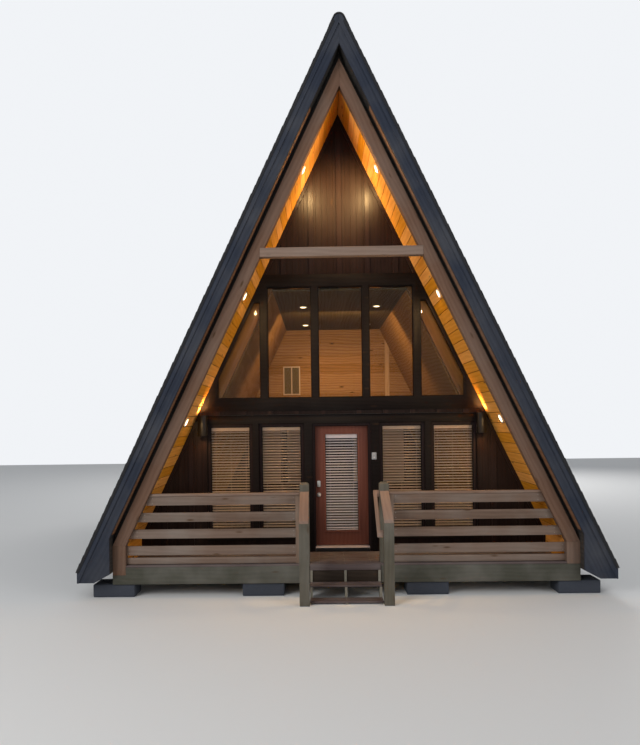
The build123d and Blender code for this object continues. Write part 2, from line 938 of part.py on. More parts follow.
def make_treads():
    """The boards of both treads and the nosing board on the edge of the deck."""
    half = post_offset - post_size / 2 - tread_side_gap
    board = (tread_depth - tread_board_gap) / 2
    pieces = [block(-half, half, timber_front - nosing_thickness, timber_front,
                    deck_height - nosing_height, deck_height)]
    for step, top in enumerate((upper_tread, lower_tread)):
        for row in range(2):
            back = tread_back(step) - row * (board + tread_board_gap)
            front = back - board + (tread_board_gap if row else 0)
            pieces.append(block(-half, half, front, back, top - tread_thickness, top))
    return grouped(pieces)


def make_stringers():
    """The three notched stringers that carry the treads."""
    upper_seat = upper_tread - tread_thickness
    lower_seat = lower_tread - tread_thickness
    foot = tread_back(1) - tread_depth + tread_board_gap
    outline = [
        (timber_front, deck_height - nosing_height),
        (tread_back(0), deck_height - nosing_height),
        (tread_back(0), upper_seat),
        (tread_back(1), upper_seat),
        (tread_back(1), lower_seat),
        (foot, lower_seat),
        (foot, 0),
        (timber_front - stringer_toe, 0),
        (timber_front, stringer_heel),
    ]
    side = post_offset - post_size / 2 - tread_side_gap - stringer_thickness
    return grouped(side_prism(outline, x, x + stringer_thickness)
                   for x in (-side - stringer_thickness, -stringer_thickness / 2, side))


def make_railing():
    """The right railing: level boards between the timber and the cleat beside the deck post."""
    y0 = rail_front
    y1 = rail_front + rail_thickness
    post_side = post_offset + post_size / 2
    start = post_side + cleat_width
    top = deck_height + rail_top - rail_cap_thickness
    railing = block(post_side, start, y0, y1, deck_height, top)

    def board(z0, z1, front, back, first):
        end_low = min(slope_x(z0), knee_half_width)
        end_high = min(slope_x(z1), knee_half_width)
        return front_prism([(first, z0), (end_low, z0), (end_high, z1), (first, z1)], front, back)

    for index in range(rail_boards):
        high = top - index * rail_pitch
        railing += board(high - rail_board_height, high, y0, y1, start)
    cap_front = y0 - rail_cap_lip
    railing += board(top, deck_height + rail_top, cap_front, cap_front + rail_cap_depth, post_side)
    kick = deck_height + kick_board_gap
    return railing + board(kick, kick + kick_board_height, y0, y1, start)


def wall_lamp():
    """A cylinder lamp, open at both ends, on its wall plate."""
    half = lamp_length / 2
    place = Pos(lamp_offset, -lamp_reach, lamp_centre)
    lamp = place * Cylinder(lamp_radius, lamp_length)
    for end in (half - lamp_recess / 2, -half + lamp_recess / 2):
        lamp = lamp - Pos(lamp_offset, -lamp_reach, lamp_centre + end) * Cylinder(lamp_radius - lamp_rim, lamp_recess)
    middle = lamp_plate_bottom + lamp_plate_length / 2
    plate = block(lamp_offset - lamp_plate_width / 2, lamp_offset + lamp_plate_width / 2,
                  -lamp_plate_thickness, 0, lamp_plate_bottom, lamp_plate_bottom + lamp_plate_length)
    arm = block(lamp_offset - lamp_arm / 2, lamp_offset + lamp_arm / 2, -lamp_reach, -lamp_plate_thickness,
                middle - lamp_arm / 2, middle + lamp_arm / 2)
    return lamp + plate + arm


def soffit_light(height):
    """A round light on the right soffit, close behind the front timber."""
    middle = timber_back + soffit_light_setback
    normal = (-pitch_sin, 0, -pitch_cos)
    plane = Plane(origin=(slope_x(height), middle, height), x_dir=(0, 1, 0), z_dir=normal)
    disc = Cylinder(soffit_light_radius, soffit_light_thickness, align=(Align.CENTER, Align.CENTER, Align.MIN))
    return plane * disc


def make_downlights():
    """Three round lights on each side of the porch soffit and four in the level ceiling."""
    low = upper_ceiling_height - soffit_light_thickness
    disc = Cylinder(soffit_light_radius, soffit_light_thickness, align=(Align.CENTER, Align.CENTER, Align.MIN))
    lights = []
    for depth in (ceiling_light_depth, ceiling_light_depth + ceiling_light_pitch):
        for side in (-1, 1):
            lights.append(Pos(side * ceiling_light_offset + ceiling_light_shift, depth, low) * disc)
    for index in range(soffit_lights):
        light = soffit_light(soffit_light_first + index * soffit_light_pitch)
        lights += [light, mirrored(light)]
    return grouped(lights)


def make_bell_box():
    """The small box beside the door."""
    box = block(bell_offset - bell_width / 2, bell_offset + bell_width / 2,
                -trim_thickness - bell_thickness, -trim_thickness,
                bell_height - bell_length / 2, bell_height + bell_length / 2)
    return fillet(box.edges().filter_by(Axis.Y), bell_width * 0.12)


def paired(name, shape):
    """Two nodes, one for each side."""
    return {name + "_right": shape, name + "_left": mirrored(shape)}


nodes = {
    "foundation_walls": make_foundation(),
    "deck_piers": make_deck_piers(),
    "floor_platform": make_platform(),
    "deck_frame": make_deck_frame(),
    "deck_boards": make_deck_boards(),
    "wall_over_door": make_wall_over_door(),
    "upper_front_wall": make_upper_wall(),
    "front_gable": make_front_gable(),
    "front_trim": make_front_trim(),
    "rear_wall": make_rear_wall(),
    "ridge_cap": make_ridge_cap(),
    "timber_feet": grouped([foot_block(), mirrored(foot_block(left_foot_lap))]),
    "collar_tie": tie_block(),
    "upper_floor": make_upper_floor(),
    "upper_ceiling": make_upper_ceiling(),
    "upper_partition": make_upper_partition(),
    "return_grille": make_return_grille(),
    "window_frames": grouped(make_window_frames(False) + make_window_frames(True)),
    "window_glass": grouped(make_glass(False) + make_glass(True)),
    "window_blinds": make_blinds(),
    "door_frame": make_door_frame(),
    "threshold": make_threshold(),
    "door_leaf": make_door_leaf(),
    "door_glass": make_door_glass(),
    "door_blind": make_door_blind(),
    "door_hardware": make_door_hardware(),
    "stair_posts": make_stair_posts(),
    "stair_caps": make_stair_caps(),
    "stair_handrail": make_handrail(),
    "stair_treads": make_treads(),
    "stair_stringers": make_stringers(),
    "wall_lamps": both_sides(wall_lamp()),
    "downlights": make_downlights(),
    "bell_box": make_bell_box(),
}
nodes.update(paired("front_wall", make_front_wall_side()))
nodes.update(paired("roof", make_roof()))
nodes.update(paired("roofing", make_roofing()))
nodes.update(paired("lining", make_lining()))
nodes.update(paired("fascia", grouped([make_front_fascia(), make_rear_fascia()])))
nodes.update(paired("front_timber", make_front_timber()))
nodes.update(paired("rafters", grouped(make_rafters())))
nodes.update(paired("railing", make_railing()))

os.makedirs("parts", exist_ok=True)
for name, shape in nodes.items():
    export_step(Pos(0, -origin_y, 0) * shape, f"parts/{name}.step")
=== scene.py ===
import json
import math
import bpy
from mathutils import Matrix, Vector


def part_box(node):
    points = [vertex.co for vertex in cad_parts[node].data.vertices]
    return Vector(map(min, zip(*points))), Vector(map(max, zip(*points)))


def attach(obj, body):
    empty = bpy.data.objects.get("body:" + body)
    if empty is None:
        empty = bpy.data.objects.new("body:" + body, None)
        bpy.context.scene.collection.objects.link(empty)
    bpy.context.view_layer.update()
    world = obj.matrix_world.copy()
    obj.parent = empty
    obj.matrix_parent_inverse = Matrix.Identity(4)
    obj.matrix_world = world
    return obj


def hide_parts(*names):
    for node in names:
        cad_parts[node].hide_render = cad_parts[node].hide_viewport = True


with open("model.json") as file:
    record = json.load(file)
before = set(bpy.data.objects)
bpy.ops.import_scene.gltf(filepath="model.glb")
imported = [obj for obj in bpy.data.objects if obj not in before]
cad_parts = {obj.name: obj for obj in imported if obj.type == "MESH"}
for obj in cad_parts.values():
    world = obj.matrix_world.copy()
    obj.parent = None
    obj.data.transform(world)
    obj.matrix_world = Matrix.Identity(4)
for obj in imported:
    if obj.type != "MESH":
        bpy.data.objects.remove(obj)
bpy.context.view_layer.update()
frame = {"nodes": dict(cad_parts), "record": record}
nodes = frame["nodes"]
print("frame loaded", len(nodes), "nodes")

# places read from the frame, in metres, and the pitch of the roof
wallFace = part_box("front_wall_left")[0].y
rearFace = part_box("rear_wall")[1].y
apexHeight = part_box("front_gable")[1].z
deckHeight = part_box("front_wall_left")[0].z
pitch = math.radians(64.3)
downRight = Vector((math.cos(pitch), 0, -math.sin(pitch)))
outRight = Vector((math.sin(pitch), 0, math.cos(pitch)))
bodyOf = {name: body for body, members in frame["record"]["behaviour"]["bodies"].items() for name in members}
shaping = {"easeAngle": 0.6, "smoothAngle": math.radians(35), "weld": 0.0001, "flat": math.radians(1)}


def pick(*pieces):
    bpy.ops.object.select_all(action="DESELECT")
    for piece in pieces:
        piece.select_set(True)
    bpy.context.view_layer.objects.active = pieces[0]


def addObject(name, data):
    holder = bpy.data.objects.new(name, data)
    bpy.context.scene.collection.objects.link(holder)
    return holder


def placeInMesh(piece):
    pick(piece)
    bpy.ops.object.transform_apply(location=True, rotation=True, scale=True)
    return piece


def moved(piece, place, turn=(0, 0, 0)):
    piece.location, piece.rotation_euler = place, turn
    return placeInMesh(piece)


def primitive(name, addOne, **settings):
    bpy.ops.object.select_all(action="DESELECT")
    addOne(**settings)
    bpy.context.object.name = name
    return placeInMesh(bpy.context.object)


def bar(name, low, high):
    # a box between two corners, to be shaped further
    middle = [(a + b) / 2 for a, b in zip(low, high)]
    size = [b - a for a, b in zip(low, high)]
    return primitive(name, bpy.ops.mesh.primitive_cube_add, size=1, location=middle, scale=size)


def modify(piece, kind, **settings):
    pick(piece)
    step = piece.modifiers.new(kind.title(), kind)
    for key, value in settings.items():
        setattr(step, key, value)
    bpy.ops.object.modifier_apply(modifier=step.name)
    return piece


def easeEdges(piece, width, segments=2):
    return modify(piece, "BEVEL", width=width, segments=segments, limit_method="ANGLE",
                  angle_limit=shaping["easeAngle"], use_clamp_overlap=True)


def repeat(piece, count, step):
    return modify(piece, "ARRAY", count=count, use_relative_offset=False, use_constant_offset=True,
                  constant_offset_displace=step)


def cut(piece, point, normal, **options):
    pick(piece)
    bpy.ops.object.mode_set(mode="EDIT")
    bpy.ops.mesh.select_all(action="SELECT")
    bpy.ops.mesh.bisect(plane_co=point, plane_no=normal, **options)
    bpy.ops.object.mode_set(mode="OBJECT")
    return piece


def trim(piece, point, normal):
    # cuts off what lies on the normal's side and closes the cut
    return cut(piece, point, normal, use_fill=True, clear_outer=True)


def joined(name, pieces):
    pick(*pieces)
    if len(pieces) > 1:
        bpy.ops.object.join()
    pieces[0].name = name
    return pieces[0]


def otherSide(piece, name):
    # mirrored copy about the ridge line, with its own mesh
    copy = piece.copy()
    copy.data = piece.data.copy()
    copy.name = name
    bpy.context.scene.collection.objects.link(copy)
    copy.data.transform(Matrix.Scale(-1, 4, (1, 0, 0)))
    copy.data.flip_normals()
    return copy


def smooth(piece):
    pick(piece)
    bpy.ops.object.shade_smooth_by_angle(angle=shaping["smoothAngle"], keep_sharp_edges=True)
    return piece


def dress(piece, *materials):
    piece.data.materials.clear()
    for material in materials:
        piece.data.materials.append(material)
    return piece


def stand(piece, look, body="house"):
    # look is a finish, or None where the piece has its materials
    if look:
        dress(piece, finish[look])
    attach(piece, body)


def standFor(node, piece, look=None):
    # the piece takes the node's place, with its body
    stand(piece, look, bodyOf[node])
    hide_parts(node)
    return piece


def nodeCopy(node, name):
    # a CAD node's mesh of its own, with its doubles merged and its flat faces whole
    source = nodes[node]
    copy = source.copy()
    copy.data = source.data.copy()
    copy.name = name
    for key in list(copy.keys()):
        del copy[key]
    copy.parent = None
    bpy.context.scene.collection.objects.link(copy)
    pick(copy)
    bpy.ops.object.mode_set(mode="EDIT")
    bpy.ops.mesh.select_all(action="SELECT")
    bpy.ops.mesh.remove_doubles(threshold=shaping["weld"])
    bpy.ops.mesh.dissolve_limited(angle_limit=shaping["flat"])
    bpy.ops.object.mode_set(mode="OBJECT")
    return copy


def softened(node, width, look):
    # a copy of a node with its arrises eased, which stands for it
    return standFor(node, smooth(easeEdges(nodeCopy(node, node + "Eased"), width)), look)


def fill(tree, node, values):
    # a socket is linked, and anything else is set plainly
    for key, value in values.items():
        if isinstance(value, bpy.types.NodeSocket):
            tree.links.new(value, node.inputs[key])
        else:
            node.inputs[key].default_value = value
    return node


def put(tree, kind, values=None, **settings):
    node = tree.nodes.new("ShaderNode" + kind)
    for key, value in settings.items():
        setattr(node, key, value)
    return fill(tree, node, values or {})


def calc(tree, operation, a, b=0.0, clamp=False):
    return put(tree, "Math", {0: a, 1: b}, operation=operation, use_clamp=clamp).outputs[0]


def times(tree, a, b):
    return calc(tree, "MULTIPLY", a, b)


def vectors(tree, operation, a, b):
    return put(tree, "VectorMath", {0: a, 1: b}, operation=operation).outputs[0]


def noise(tree, place, scale, detail, rough=0.5):
    values = {"Vector": place, "Scale": scale, "Detail": detail, "Roughness": rough}
    return put(tree, "TexNoise", values).outputs


def between(tree, value, low, high, start=0.0, end=1.0):
    return put(tree, "MapRange", {0: value, 1: low, 2: high, 3: start, 4: end}).outputs[0]


def blendColour(tree, factor, first, second):
    return put(tree, "Mix", {0: factor, 6: first, 7: second}, data_type="RGBA").outputs[2]


def rgb(red, green, blue):
    return (red, green, blue, 1.0)


scalar, vector3, colour4 = "NodeSocketFloat", "NodeSocketVector", "NodeSocketColor"
surface = {"Color": colour4, "Roughness": scalar, "Height": scalar}


def newGroup(name, inputs):
    group = bpy.data.node_groups.new(name, "ShaderNodeTree")
    for way, sockets in (("INPUT", inputs), ("OUTPUT", surface)):
        for label, kind in sockets.items():
            group.interface.new_socket(label, in_out=way, socket_type=kind)
    return group, group.nodes.new("NodeGroupInput").outputs, group.nodes.new("NodeGroupOutput")


grain = {"jump": (37.0, 5.0), "warpSize": (3.0, 0.7, 3.0), "warp": 0.11, "ringSize": (1.0, 0.02, 1.0), "rings": 9.0,
         "fibreSize": (170.0, 5.0, 170.0), "knotSize": (6.5, 1.9, 6.5), "knotEdge": (0.05, 0.15), "ringShare": 0.28,
         "fibreShare": 0.75, "cloud": 1.3, "gloss": (0.78, 0.52), "worn": (0.30, 0.28, 0.25),
         "knot": (0.07, 0.035, 0.015), "seam": (0.02, 0.012, 0.007), "grainDepth": 0.0012, "seamDepth": -0.004}


def makePlankWood():
    # boards that lie side by side along the vector's X, with their grain along its Y
    group, given, out = newGroup("plankWood", {
        "Vector": vector3, "Board": scalar, "Joint": scalar, "Light": colour4, "Dark": colour4, "Variety": scalar,
        "Knots": scalar, "Weather": scalar})
    place = put(group, "SeparateXYZ", {0: given["Vector"]})
    across = calc(group, "DIVIDE", place.outputs[0], given["Board"])
    number = calc(group, "FLOOR", across)
    part = calc(group, "FRACT", across)
    toEdge = times(group, calc(group, "MINIMUM", part, calc(group, "SUBTRACT", 1.0, part)), given["Board"])
    joint = put(group, "MapRange", {0: toEdge, 1: 0.0, 2: given["Joint"], 3: 1.0, 4: 0.0},
                interpolation_type="SMOOTHSTEP").outputs[0]
    chance = put(group, "TexWhiteNoise", {"W": number}, noise_dimensions="1D").outputs["Value"]
    jumpY, jumpZ = (times(group, chance, reach) for reach in grain["jump"])
    jump = put(group, "CombineXYZ", {0: 0.0, 1: jumpY, 2: jumpZ}).outputs[0]
    jumped = vectors(group, "ADD", given["Vector"], jump)

    def stretched(sizes):
        return vectors(group, "MULTIPLY", jumped, sizes)

    warp = noise(group, stretched(grain["warpSize"]), 1.0, 2.0)["Color"]
    bend = put(group, "VectorMath", {0: warp, "Scale": grain["warp"]}, operation="SCALE").outputs[0]
    bent = vectors(group, "ADD", stretched(grain["ringSize"]), bend)
    rings = put(group, "TexWave", {"Vector": bent, "Scale": grain["rings"], "Distortion": 1.6, "Detail": 3.0,
                "Detail Scale": 1.4}, wave_type="BANDS", bands_direction="DIAGONAL").outputs["Fac"]
    fibre = noise(group, stretched(grain["fibreSize"]), 1.0, 5.0, 0.6)["Fac"]
    knotField = put(group, "TexVoronoi", {"Vector": stretched(grain["knotSize"]), "Scale": 1.0}).outputs["Distance"]
    knot = times(group, between(group, knotField, *grain["knotEdge"], 1.0, 0.0), given["Knots"])
    tone = calc(group, "ADD", times(group, rings, grain["ringShare"]), times(group, fibre, grain["fibreShare"]), True)
    colour = blendColour(group, tone, given["Dark"], given["Light"])
    swing = times(group, calc(group, "SUBTRACT", chance, 0.5), given["Variety"])
    hue = put(group, "HueSaturation", {"Color": colour, "Value": calc(group, "ADD", 1.0, swing),
              "Saturation": calc(group, "SUBTRACT", 1.0, times(group, swing, 0.4))}).outputs[0]
    cloud = noise(group, given["Vector"], grain["cloud"], 4.0)["Fac"]
    worn = times(group, between(group, cloud, 0.4, 0.7), given["Weather"])
    aged = blendColour(group, worn, hue, rgb(*grain["worn"]))
    knotted = blendColour(group, knot, aged, rgb(*grain["knot"]))
    seam = blendColour(group, times(group, joint, 0.8), knotted, rgb(*grain["seam"]))
    height = calc(group, "ADD", times(group, tone, grain["grainDepth"]), times(group, joint, grain["seamDepth"]))
    fill(group, out, {"Color": seam, "Roughness": between(group, tone, 0.0, 1.0, *grain["gloss"]), "Height": height})
    return group


def makeSpeckle():
    # fine mottling, broad stains and dust for painted, cast and stone finishes
    group, given, out = newGroup("speckle", {
        "Vector": vector3, "Base": colour4, "Stain": colour4, "Grain Size": scalar, "Amount": scalar, "Rough": scalar})
    scale = calc(group, "DIVIDE", 1.0, given["Grain Size"])
    fine = noise(group, given["Vector"], scale, 6.0, 0.6)["Fac"]
    broad = noise(group, given["Vector"], 0.9, 5.0, 0.65)["Fac"]
    stains = calc(group, "ADD", between(group, broad, 0.35, 0.7, 0.0, 0.6), between(group, fine, 0.3, 0.75, 0.0, 0.7))
    colour = blendColour(group, times(group, stains, given["Amount"]), given["Base"], given["Stain"])
    rough = calc(group, "ADD", given["Rough"], between(group, fine, 0.0, 1.0, -0.09, 0.09))
    fill(group, out, {"Color": colour, "Roughness": rough, "Height": times(group, fine, given["Grain Size"])})
    return group


plankWood = makePlankWood()
speckle = makeSpeckle()


def startMaterial(name):
    material = bpy.data.materials.new(name)
    material.use_nodes = True
    tree = material.node_tree
    shader = tree.nodes["Principled BSDF"]
    where = put(tree, "TexCoord").outputs["Object"]
    return material, tree, shader, where


def relief(tree, shader, height, strength, distance=1.0):
    bump = put(tree, "Bump", {"Height": height, "Strength": strength, "Distance": distance})
    tree.links.new(bump.outputs[0], shader.inputs["Normal"])


def wood(name, light, dark, board=40.0, joint=0.0001, turn=(0, 0, 0), shift=(0, 0, 0), variety=0.3, knots=0.5,
         weather=0.15, coat=0.0, strength=0.8, gloss=1.0, specular=0.2):
    # turn lays the grain: the boards lie side by side along X and run along Y once turned
    material, tree, shader, where = startMaterial(name)
    laid = put(tree, "Mapping", {"Vector": where, "Location": shift, "Rotation": turn}).outputs[0]
    made = put(tree, "Group", {"Vector": laid, "Board": board, "Joint": joint, "Light": rgb(*light),
               "Dark": rgb(*dark), "Variety": variety, "Knots": knots, "Weather": weather}, node_tree=plankWood).outputs
    fill(tree, shader, {"Base Color": made["Color"], "Roughness": times(tree, made["Roughness"], gloss),
         "Specular IOR Level": specular, "Coat Weight": coat, "Coat Roughness": 0.3})
    relief(tree, shader, made["Height"], strength)
    return material


def plain(name, base, stain, grain=0.01, amount=0.35, rough=0.5, metallic=0.0, strength=0.25, specular=0.3):
    material, tree, shader, where = startMaterial(name)
    made = put(tree, "Group", {"Vector": where, "Base": rgb(*base), "Stain": rgb(*stain), "Grain Size": grain,
               "Amount": amount, "Rough": rough}, node_tree=speckle).outputs
    fill(tree, shader, {"Base Color": made["Color"], "Roughness": made["Roughness"], "Metallic": metallic,
         "Specular IOR Level": specular})
    relief(tree, shader, made["Height"], strength)
    return material


paneLook = {"ior": 1.17, "through": 0.5, "gloss": (0.01, 0.035)}


def clearGlass(name, tint):
    material, tree, shader, where = startMaterial(name)
    cloud = noise(tree, where, 1.1, 3.0)["Fac"]
    veil = blendColour(tree, between(tree, cloud, 0.3, 0.7, 0.0, 0.4), rgb(*tint),
                       rgb(tint[0] * 0.93, tint[1] * 0.95, tint[2] * 0.95))
    fill(tree, shader, {"Base Color": veil, "Roughness": between(tree, cloud, 0.3, 0.7, *paneLook["gloss"]),
         "Transmission Weight": 1.0, "IOR": paneLook["ior"]})
    # lamps shine through at part of their strength, as through coated panes
    path = put(tree, "LightPath")
    clear = put(tree, "BsdfTransparent", {"Color": rgb(*[part * paneLook["through"] for part in tint])})
    mixed = put(tree, "MixShader", {0: path.outputs["Is Shadow Ray"], 1: shader.outputs[0], 2: clear.outputs[0]})
    fill(tree, tree.nodes["Material Output"], {"Surface": mixed.outputs[0]})
    return material


def glowing(name, colour, strength):
    material, tree, shader, where = startMaterial(name)
    cloud = noise(tree, where, 60.0, 2.0)["Fac"]
    body, light = (blendColour(tree, cloud, rgb(*colour), rgb(*[part * share for part in colour]))
                   for share in (0.85, 0.9))
    fill(tree, shader, {"Base Color": body, "Emission Color": light, "Emission Strength": strength, "Roughness": 0.35})
    return material


granules = {"tab": (0.143, 0.135, 10.0), "dark": (0.022, 0.022, 0.026), "light": (0.12, 0.115, 0.115),
            "stain": (0.05, 0.047, 0.045), "gloss": (0.98, 0.8), "specular": 0.2, "relief": (0.5, 0.003)}


def shingles(name, turn):
    # mineral granules with a tone for each tab of each course
    material, tree, shader, where = startMaterial(name)
    laid = put(tree, "Mapping", {"Vector": where, "Rotation": turn}).outputs[0]
    cell = vectors(tree, "SNAP", laid, granules["tab"])
    chance = put(tree, "TexWhiteNoise", {"Vector": cell}, noise_dimensions="3D").outputs["Value"]
    grit = noise(tree, where, 260.0, 3.0)["Fac"]
    broad = noise(tree, where, 0.7, 4.0)["Fac"]
    tone = calc(tree, "ADD", times(tree, chance, 0.45), between(tree, grit, 0.3, 0.75, 0.0, 0.55), True)
    base = blendColour(tree, tone, rgb(*granules["dark"]), rgb(*granules["light"]))
    stained = blendColour(tree, between(tree, broad, 0.45, 0.8, 0.0, 0.5), base, rgb(*granules["stain"]))
    fill(tree, shader, {"Base Color": stained, "Roughness": between(tree, grit, 0.0, 1.0, *granules["gloss"]),
         "Specular IOR Level": granules["specular"]})
    relief(tree, shader, grit, *granules["relief"])
    return material


quarter = math.pi / 2
# the turns that lay the grain along each piece, and how far the stair's rails fall
capFall, gripFall, gripEnds = 0.367, 0.58, 0.1
capLow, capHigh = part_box("stair_caps")
gripLow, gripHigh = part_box("stair_handrail")
downCap = (-math.atan2(capFall, capHigh.y - capLow.y), 0, 0)
downGrip = (-math.atan2(gripFall, gripHigh.y - gripLow.y - gripEnds), 0, 0)
alongX, alongY, alongZ = (0, 0, quarter), (0, 0, 0), (quarter, 0, 0)
alongXUp = tuple(Matrix(((0, 0, 1), (1, 0, 0), (0, 1, 0))).to_euler())   # boards stacked in Z, grain along X
# a light and a dark tone for each wood, and what several finishes share
pineLight, pineDark = (0.22, 0.10, 0.022), (0.13, 0.052, 0.011)
timberLight, timberDark = (0.187, 0.107, 0.071), (0.108, 0.058, 0.036)
darkLight, darkDark = (0.0215, 0.0125, 0.0125), (0.0088, 0.0055, 0.0056)
slatGloss = {"grain": 0.02, "amount": 0.3, "rough": 0.42, "strength": 0.05}
finish = {
    "siding": wood("stainedSiding", (0.0195, 0.0089, 0.0062), (0.0070, 0.0034, 0.0026), 0.1, 0.003, alongZ,
                   knots=0.2, weather=0.02, strength=1.0, gloss=0.62, specular=0.1),
    "darkUpright": wood("stainedTrimUpright", darkLight, darkDark, turn=alongZ, knots=0.2, weather=0.015,
                        specular=0.1),
    "darkLevel": wood("stainedTrimLevel", (0.0085, 0.0056, 0.0050), (0.0038, 0.0026, 0.0025), turn=alongX,
                      knots=0.2, weather=0.015, specular=0.1),
    "framing": wood("roofEdge", (0.0435, 0.0391, 0.0365), (0.0174, 0.0157, 0.0148), turn=alongY, knots=0.1,
                    weather=0.1),
    "pineInside": wood("pineInside", pineLight, pineDark, 0.184, 0.003, alongX, variety=0.25, knots=0.6, weather=0.0,
                       coat=0.15),
    "floorBoards": wood("floorBoards", (0.16, 0.09, 0.05), (0.09, 0.05, 0.027), 0.12, 0.0015, alongY),
    "railLevel": wood("cedarLevel", (0.23, 0.145, 0.101), (0.15, 0.09, 0.063), turn=alongX, weather=0.3, knots=0.6),
    "railUpright": wood("cedarUpright", (0.261, 0.174, 0.122), (0.165, 0.109, 0.0783), turn=alongZ, weather=0.3),
    "railDeep": wood("cedarDeep", (0.313, 0.2, 0.148), (0.209, 0.131, 0.1), turn=downCap, weather=0.25),
    "railGrip": wood("cedarGrip", (0.296, 0.187, 0.139), (0.191, 0.122, 0.0914), turn=downGrip, weather=0.2),
    "treatedLevel": wood("treatedLevel", (0.077, 0.074, 0.056), (0.048, 0.047, 0.036), turn=alongX, weather=0.3),
    "treatedUpright": wood("treatedUpright", (0.112, 0.099, 0.072), (0.07, 0.061, 0.045), turn=alongZ, weather=0.3),
    "treatedDeep": wood("treatedDeep", (0.261, 0.235, 0.183), (0.165, 0.148, 0.113), turn=alongY, weather=0.3),
    "deckLevel": wood("deckBoards", (0.128, 0.094, 0.090), (0.077, 0.056, 0.053), 0.147, 0.004, alongX,
                      weather=0.25),
    # a dark copy of the treated rim wood: painted shade on the rim behind the stairs
    "shadedRim": wood("shadedRim", (0.040, 0.027, 0.018), (0.020, 0.013, 0.009), turn=alongX, weather=0.05),
    "timberLevel": wood("sawnTimberLevel", (0.285, 0.195, 0.148), (0.165, 0.11, 0.08), turn=alongX, knots=0.7),
    "timberUpright": wood("sawnTimberUpright", timberLight, timberDark, turn=alongZ, knots=0.8),
    "door": wood("doorStain", (0.172, 0.056, 0.036), (0.108, 0.034, 0.021), turn=alongZ, knots=0.0, weather=0.0,
                 coat=0.1, variety=0.0, strength=0.2),
    "masonry": plain("paintedBlock", (0.058, 0.064, 0.080), (0.032, 0.036, 0.046), 0.012, 0.6, 0.85, strength=0.7),
    "roofingCap": shingles("shingleCap", (0, 0, 0)),
    "blackMetal": plain("blackTrimMetal", (0.018, 0.018, 0.02), (0.05, 0.05, 0.052), 0.01, 0.4, 0.38, 0.6, 0.1),
    "batten": wood("stainedBatten", (0.0215, 0.0095, 0.0066), (0.0084, 0.0039, 0.0029), turn=alongZ, knots=0.3,
                   weather=0.02, gloss=0.55, specular=0.12),
    "eaveBoards": wood("eaveBoards", (0.24, 0.12, 0.065), (0.13, 0.06, 0.03), turn=alongY, knots=0.4),
    # the ceiling's pine boards kept far darker than the room's walls: painted shade for the dim ceiling
    "ceiling": wood("ceilingBoards", (0.11, 0.078, 0.03), (0.05, 0.035, 0.014), 0.184, 0.003, alongY, variety=0.25,
                    knots=0.6, weather=0.0),
    "slat": plain("slatCream", (0.56, 0.38, 0.265), (0.44, 0.29, 0.195), **slatGloss),
    "nickel": plain("satinNickel", (0.50, 0.475, 0.44), (0.33, 0.31, 0.285), 0.004, 0.3, 0.3, 1.0, 0.05),
    "threshold": plain("millAluminium", (0.50, 0.44, 0.47), (0.39, 0.34, 0.36), 0.01, 0.4, 0.38, 0.3, 0.08),
    "slatPale": plain("slatPale", (0.7, 0.585, 0.575), (0.57, 0.47, 0.455), **slatGloss),
    "button": plain("buttonGrey", (0.49, 0.455, 0.435), (0.39, 0.355, 0.34), **slatGloss),
    "grillePanel": plain("grillePanel", (0.17, 0.125, 0.055), (0.11, 0.08, 0.035), 0.01, 0.3, 0.5, strength=0.05),
    "grilleFrame": plain("grilleFrame", (0.66, 0.52, 0.34), (0.52, 0.40, 0.26), 0.01, 0.25, 0.4, 0.0, 0.05),
    "bell": plain("bellGrey", (0.261, 0.27, 0.291), (0.191, 0.2, 0.217), 0.01, 0.2, 0.4, strength=0.05),
    "zinc": plain("zincScrew", (0.45, 0.42, 0.38), (0.28, 0.25, 0.22), 0.003, 0.4, 0.45, 0.9, 0.05),
    "railBoards": wood("cedarBoards", (0.196, 0.131, 0.097), (0.121, 0.079, 0.057), 0.262, 0.0001, alongXUp,
                       (0.024, 0, 0), weather=0.3, knots=0.8),
    "roomBoards": wood("roomBoards", (0.52, 0.295, 0.105), (0.16, 0.072, 0.02), 0.24, 0.002, alongXUp,
                       (-2.951, 0, 0), variety=0.25, knots=1.0, weather=0.0),
    "roomSlope": wood("roomSlope", (0.44, 0.25, 0.09), (0.20, 0.10, 0.03), turn=(0, -pitch, 0), knots=0.4,
                      weather=0.0),
    "roomTrim": wood("roomTrim", (0.66, 0.45, 0.24), (0.45, 0.28, 0.13), turn=alongZ, knots=0.2, weather=0.0),
    "bronze": plain("darkBronze", (0.012, 0.010, 0.009), (0.03, 0.022, 0.017), 0.006, 0.4, 0.36, 0.5, 0.1),
    "enamel": plain("whiteEnamel", (0.82, 0.79, 0.72), (0.62, 0.58, 0.5), 0.01, 0.25, 0.4, 0.0, 0.05),
    "glass": clearGlass("windowGlass", (0.97, 0.96, 0.94)),
    "lens": glowing("warmLens", (1.0, 0.72, 0.38), 7.0),
}
for side, turnBy in (("Right", -pitch), ("Left", pitch)):
    # grain along the slope: the slope is turned level, then the boards are laid along it
    laid = tuple((Matrix.Rotation(quarter, 3, "Z") @ Matrix.Rotation(turnBy, 3, "Y")).to_euler())
    finish["timber" + side] = wood("sawnTimber" + side, timberLight, timberDark, turn=laid, knots=0.9, weather=0.12)
    finish["pineRafter" + side] = wood("pineRafter" + side, pineLight, pineDark, turn=laid, knots=0.7,
                                       weather=0.0, coat=0.15)
    finish["fascia" + side] = wood("fascia" + side, (0.0348, 0.0418, 0.0609), (0.0165, 0.02, 0.0305), turn=laid,
                                   knots=0.05, weather=0.1, specular=0.15)
    # across the slope the boards' joints follow the modelled ones, counted from the apex
    finish["lining" + side] = wood("pineLining" + side, (0.78, 0.37, 0.066), (0.54, 0.215, 0.030), 0.184, 0.0065,
                                   (0, turnBy, 0), (apexHeight * math.sin(-turnBy), 0, 0), knots=0.8, weather=0.0,
                                   coat=0.1)
    finish["roofing" + side] = shingles("shingle" + side, (0, turnBy, 0))
print("materials made", len(bpy.data.materials))

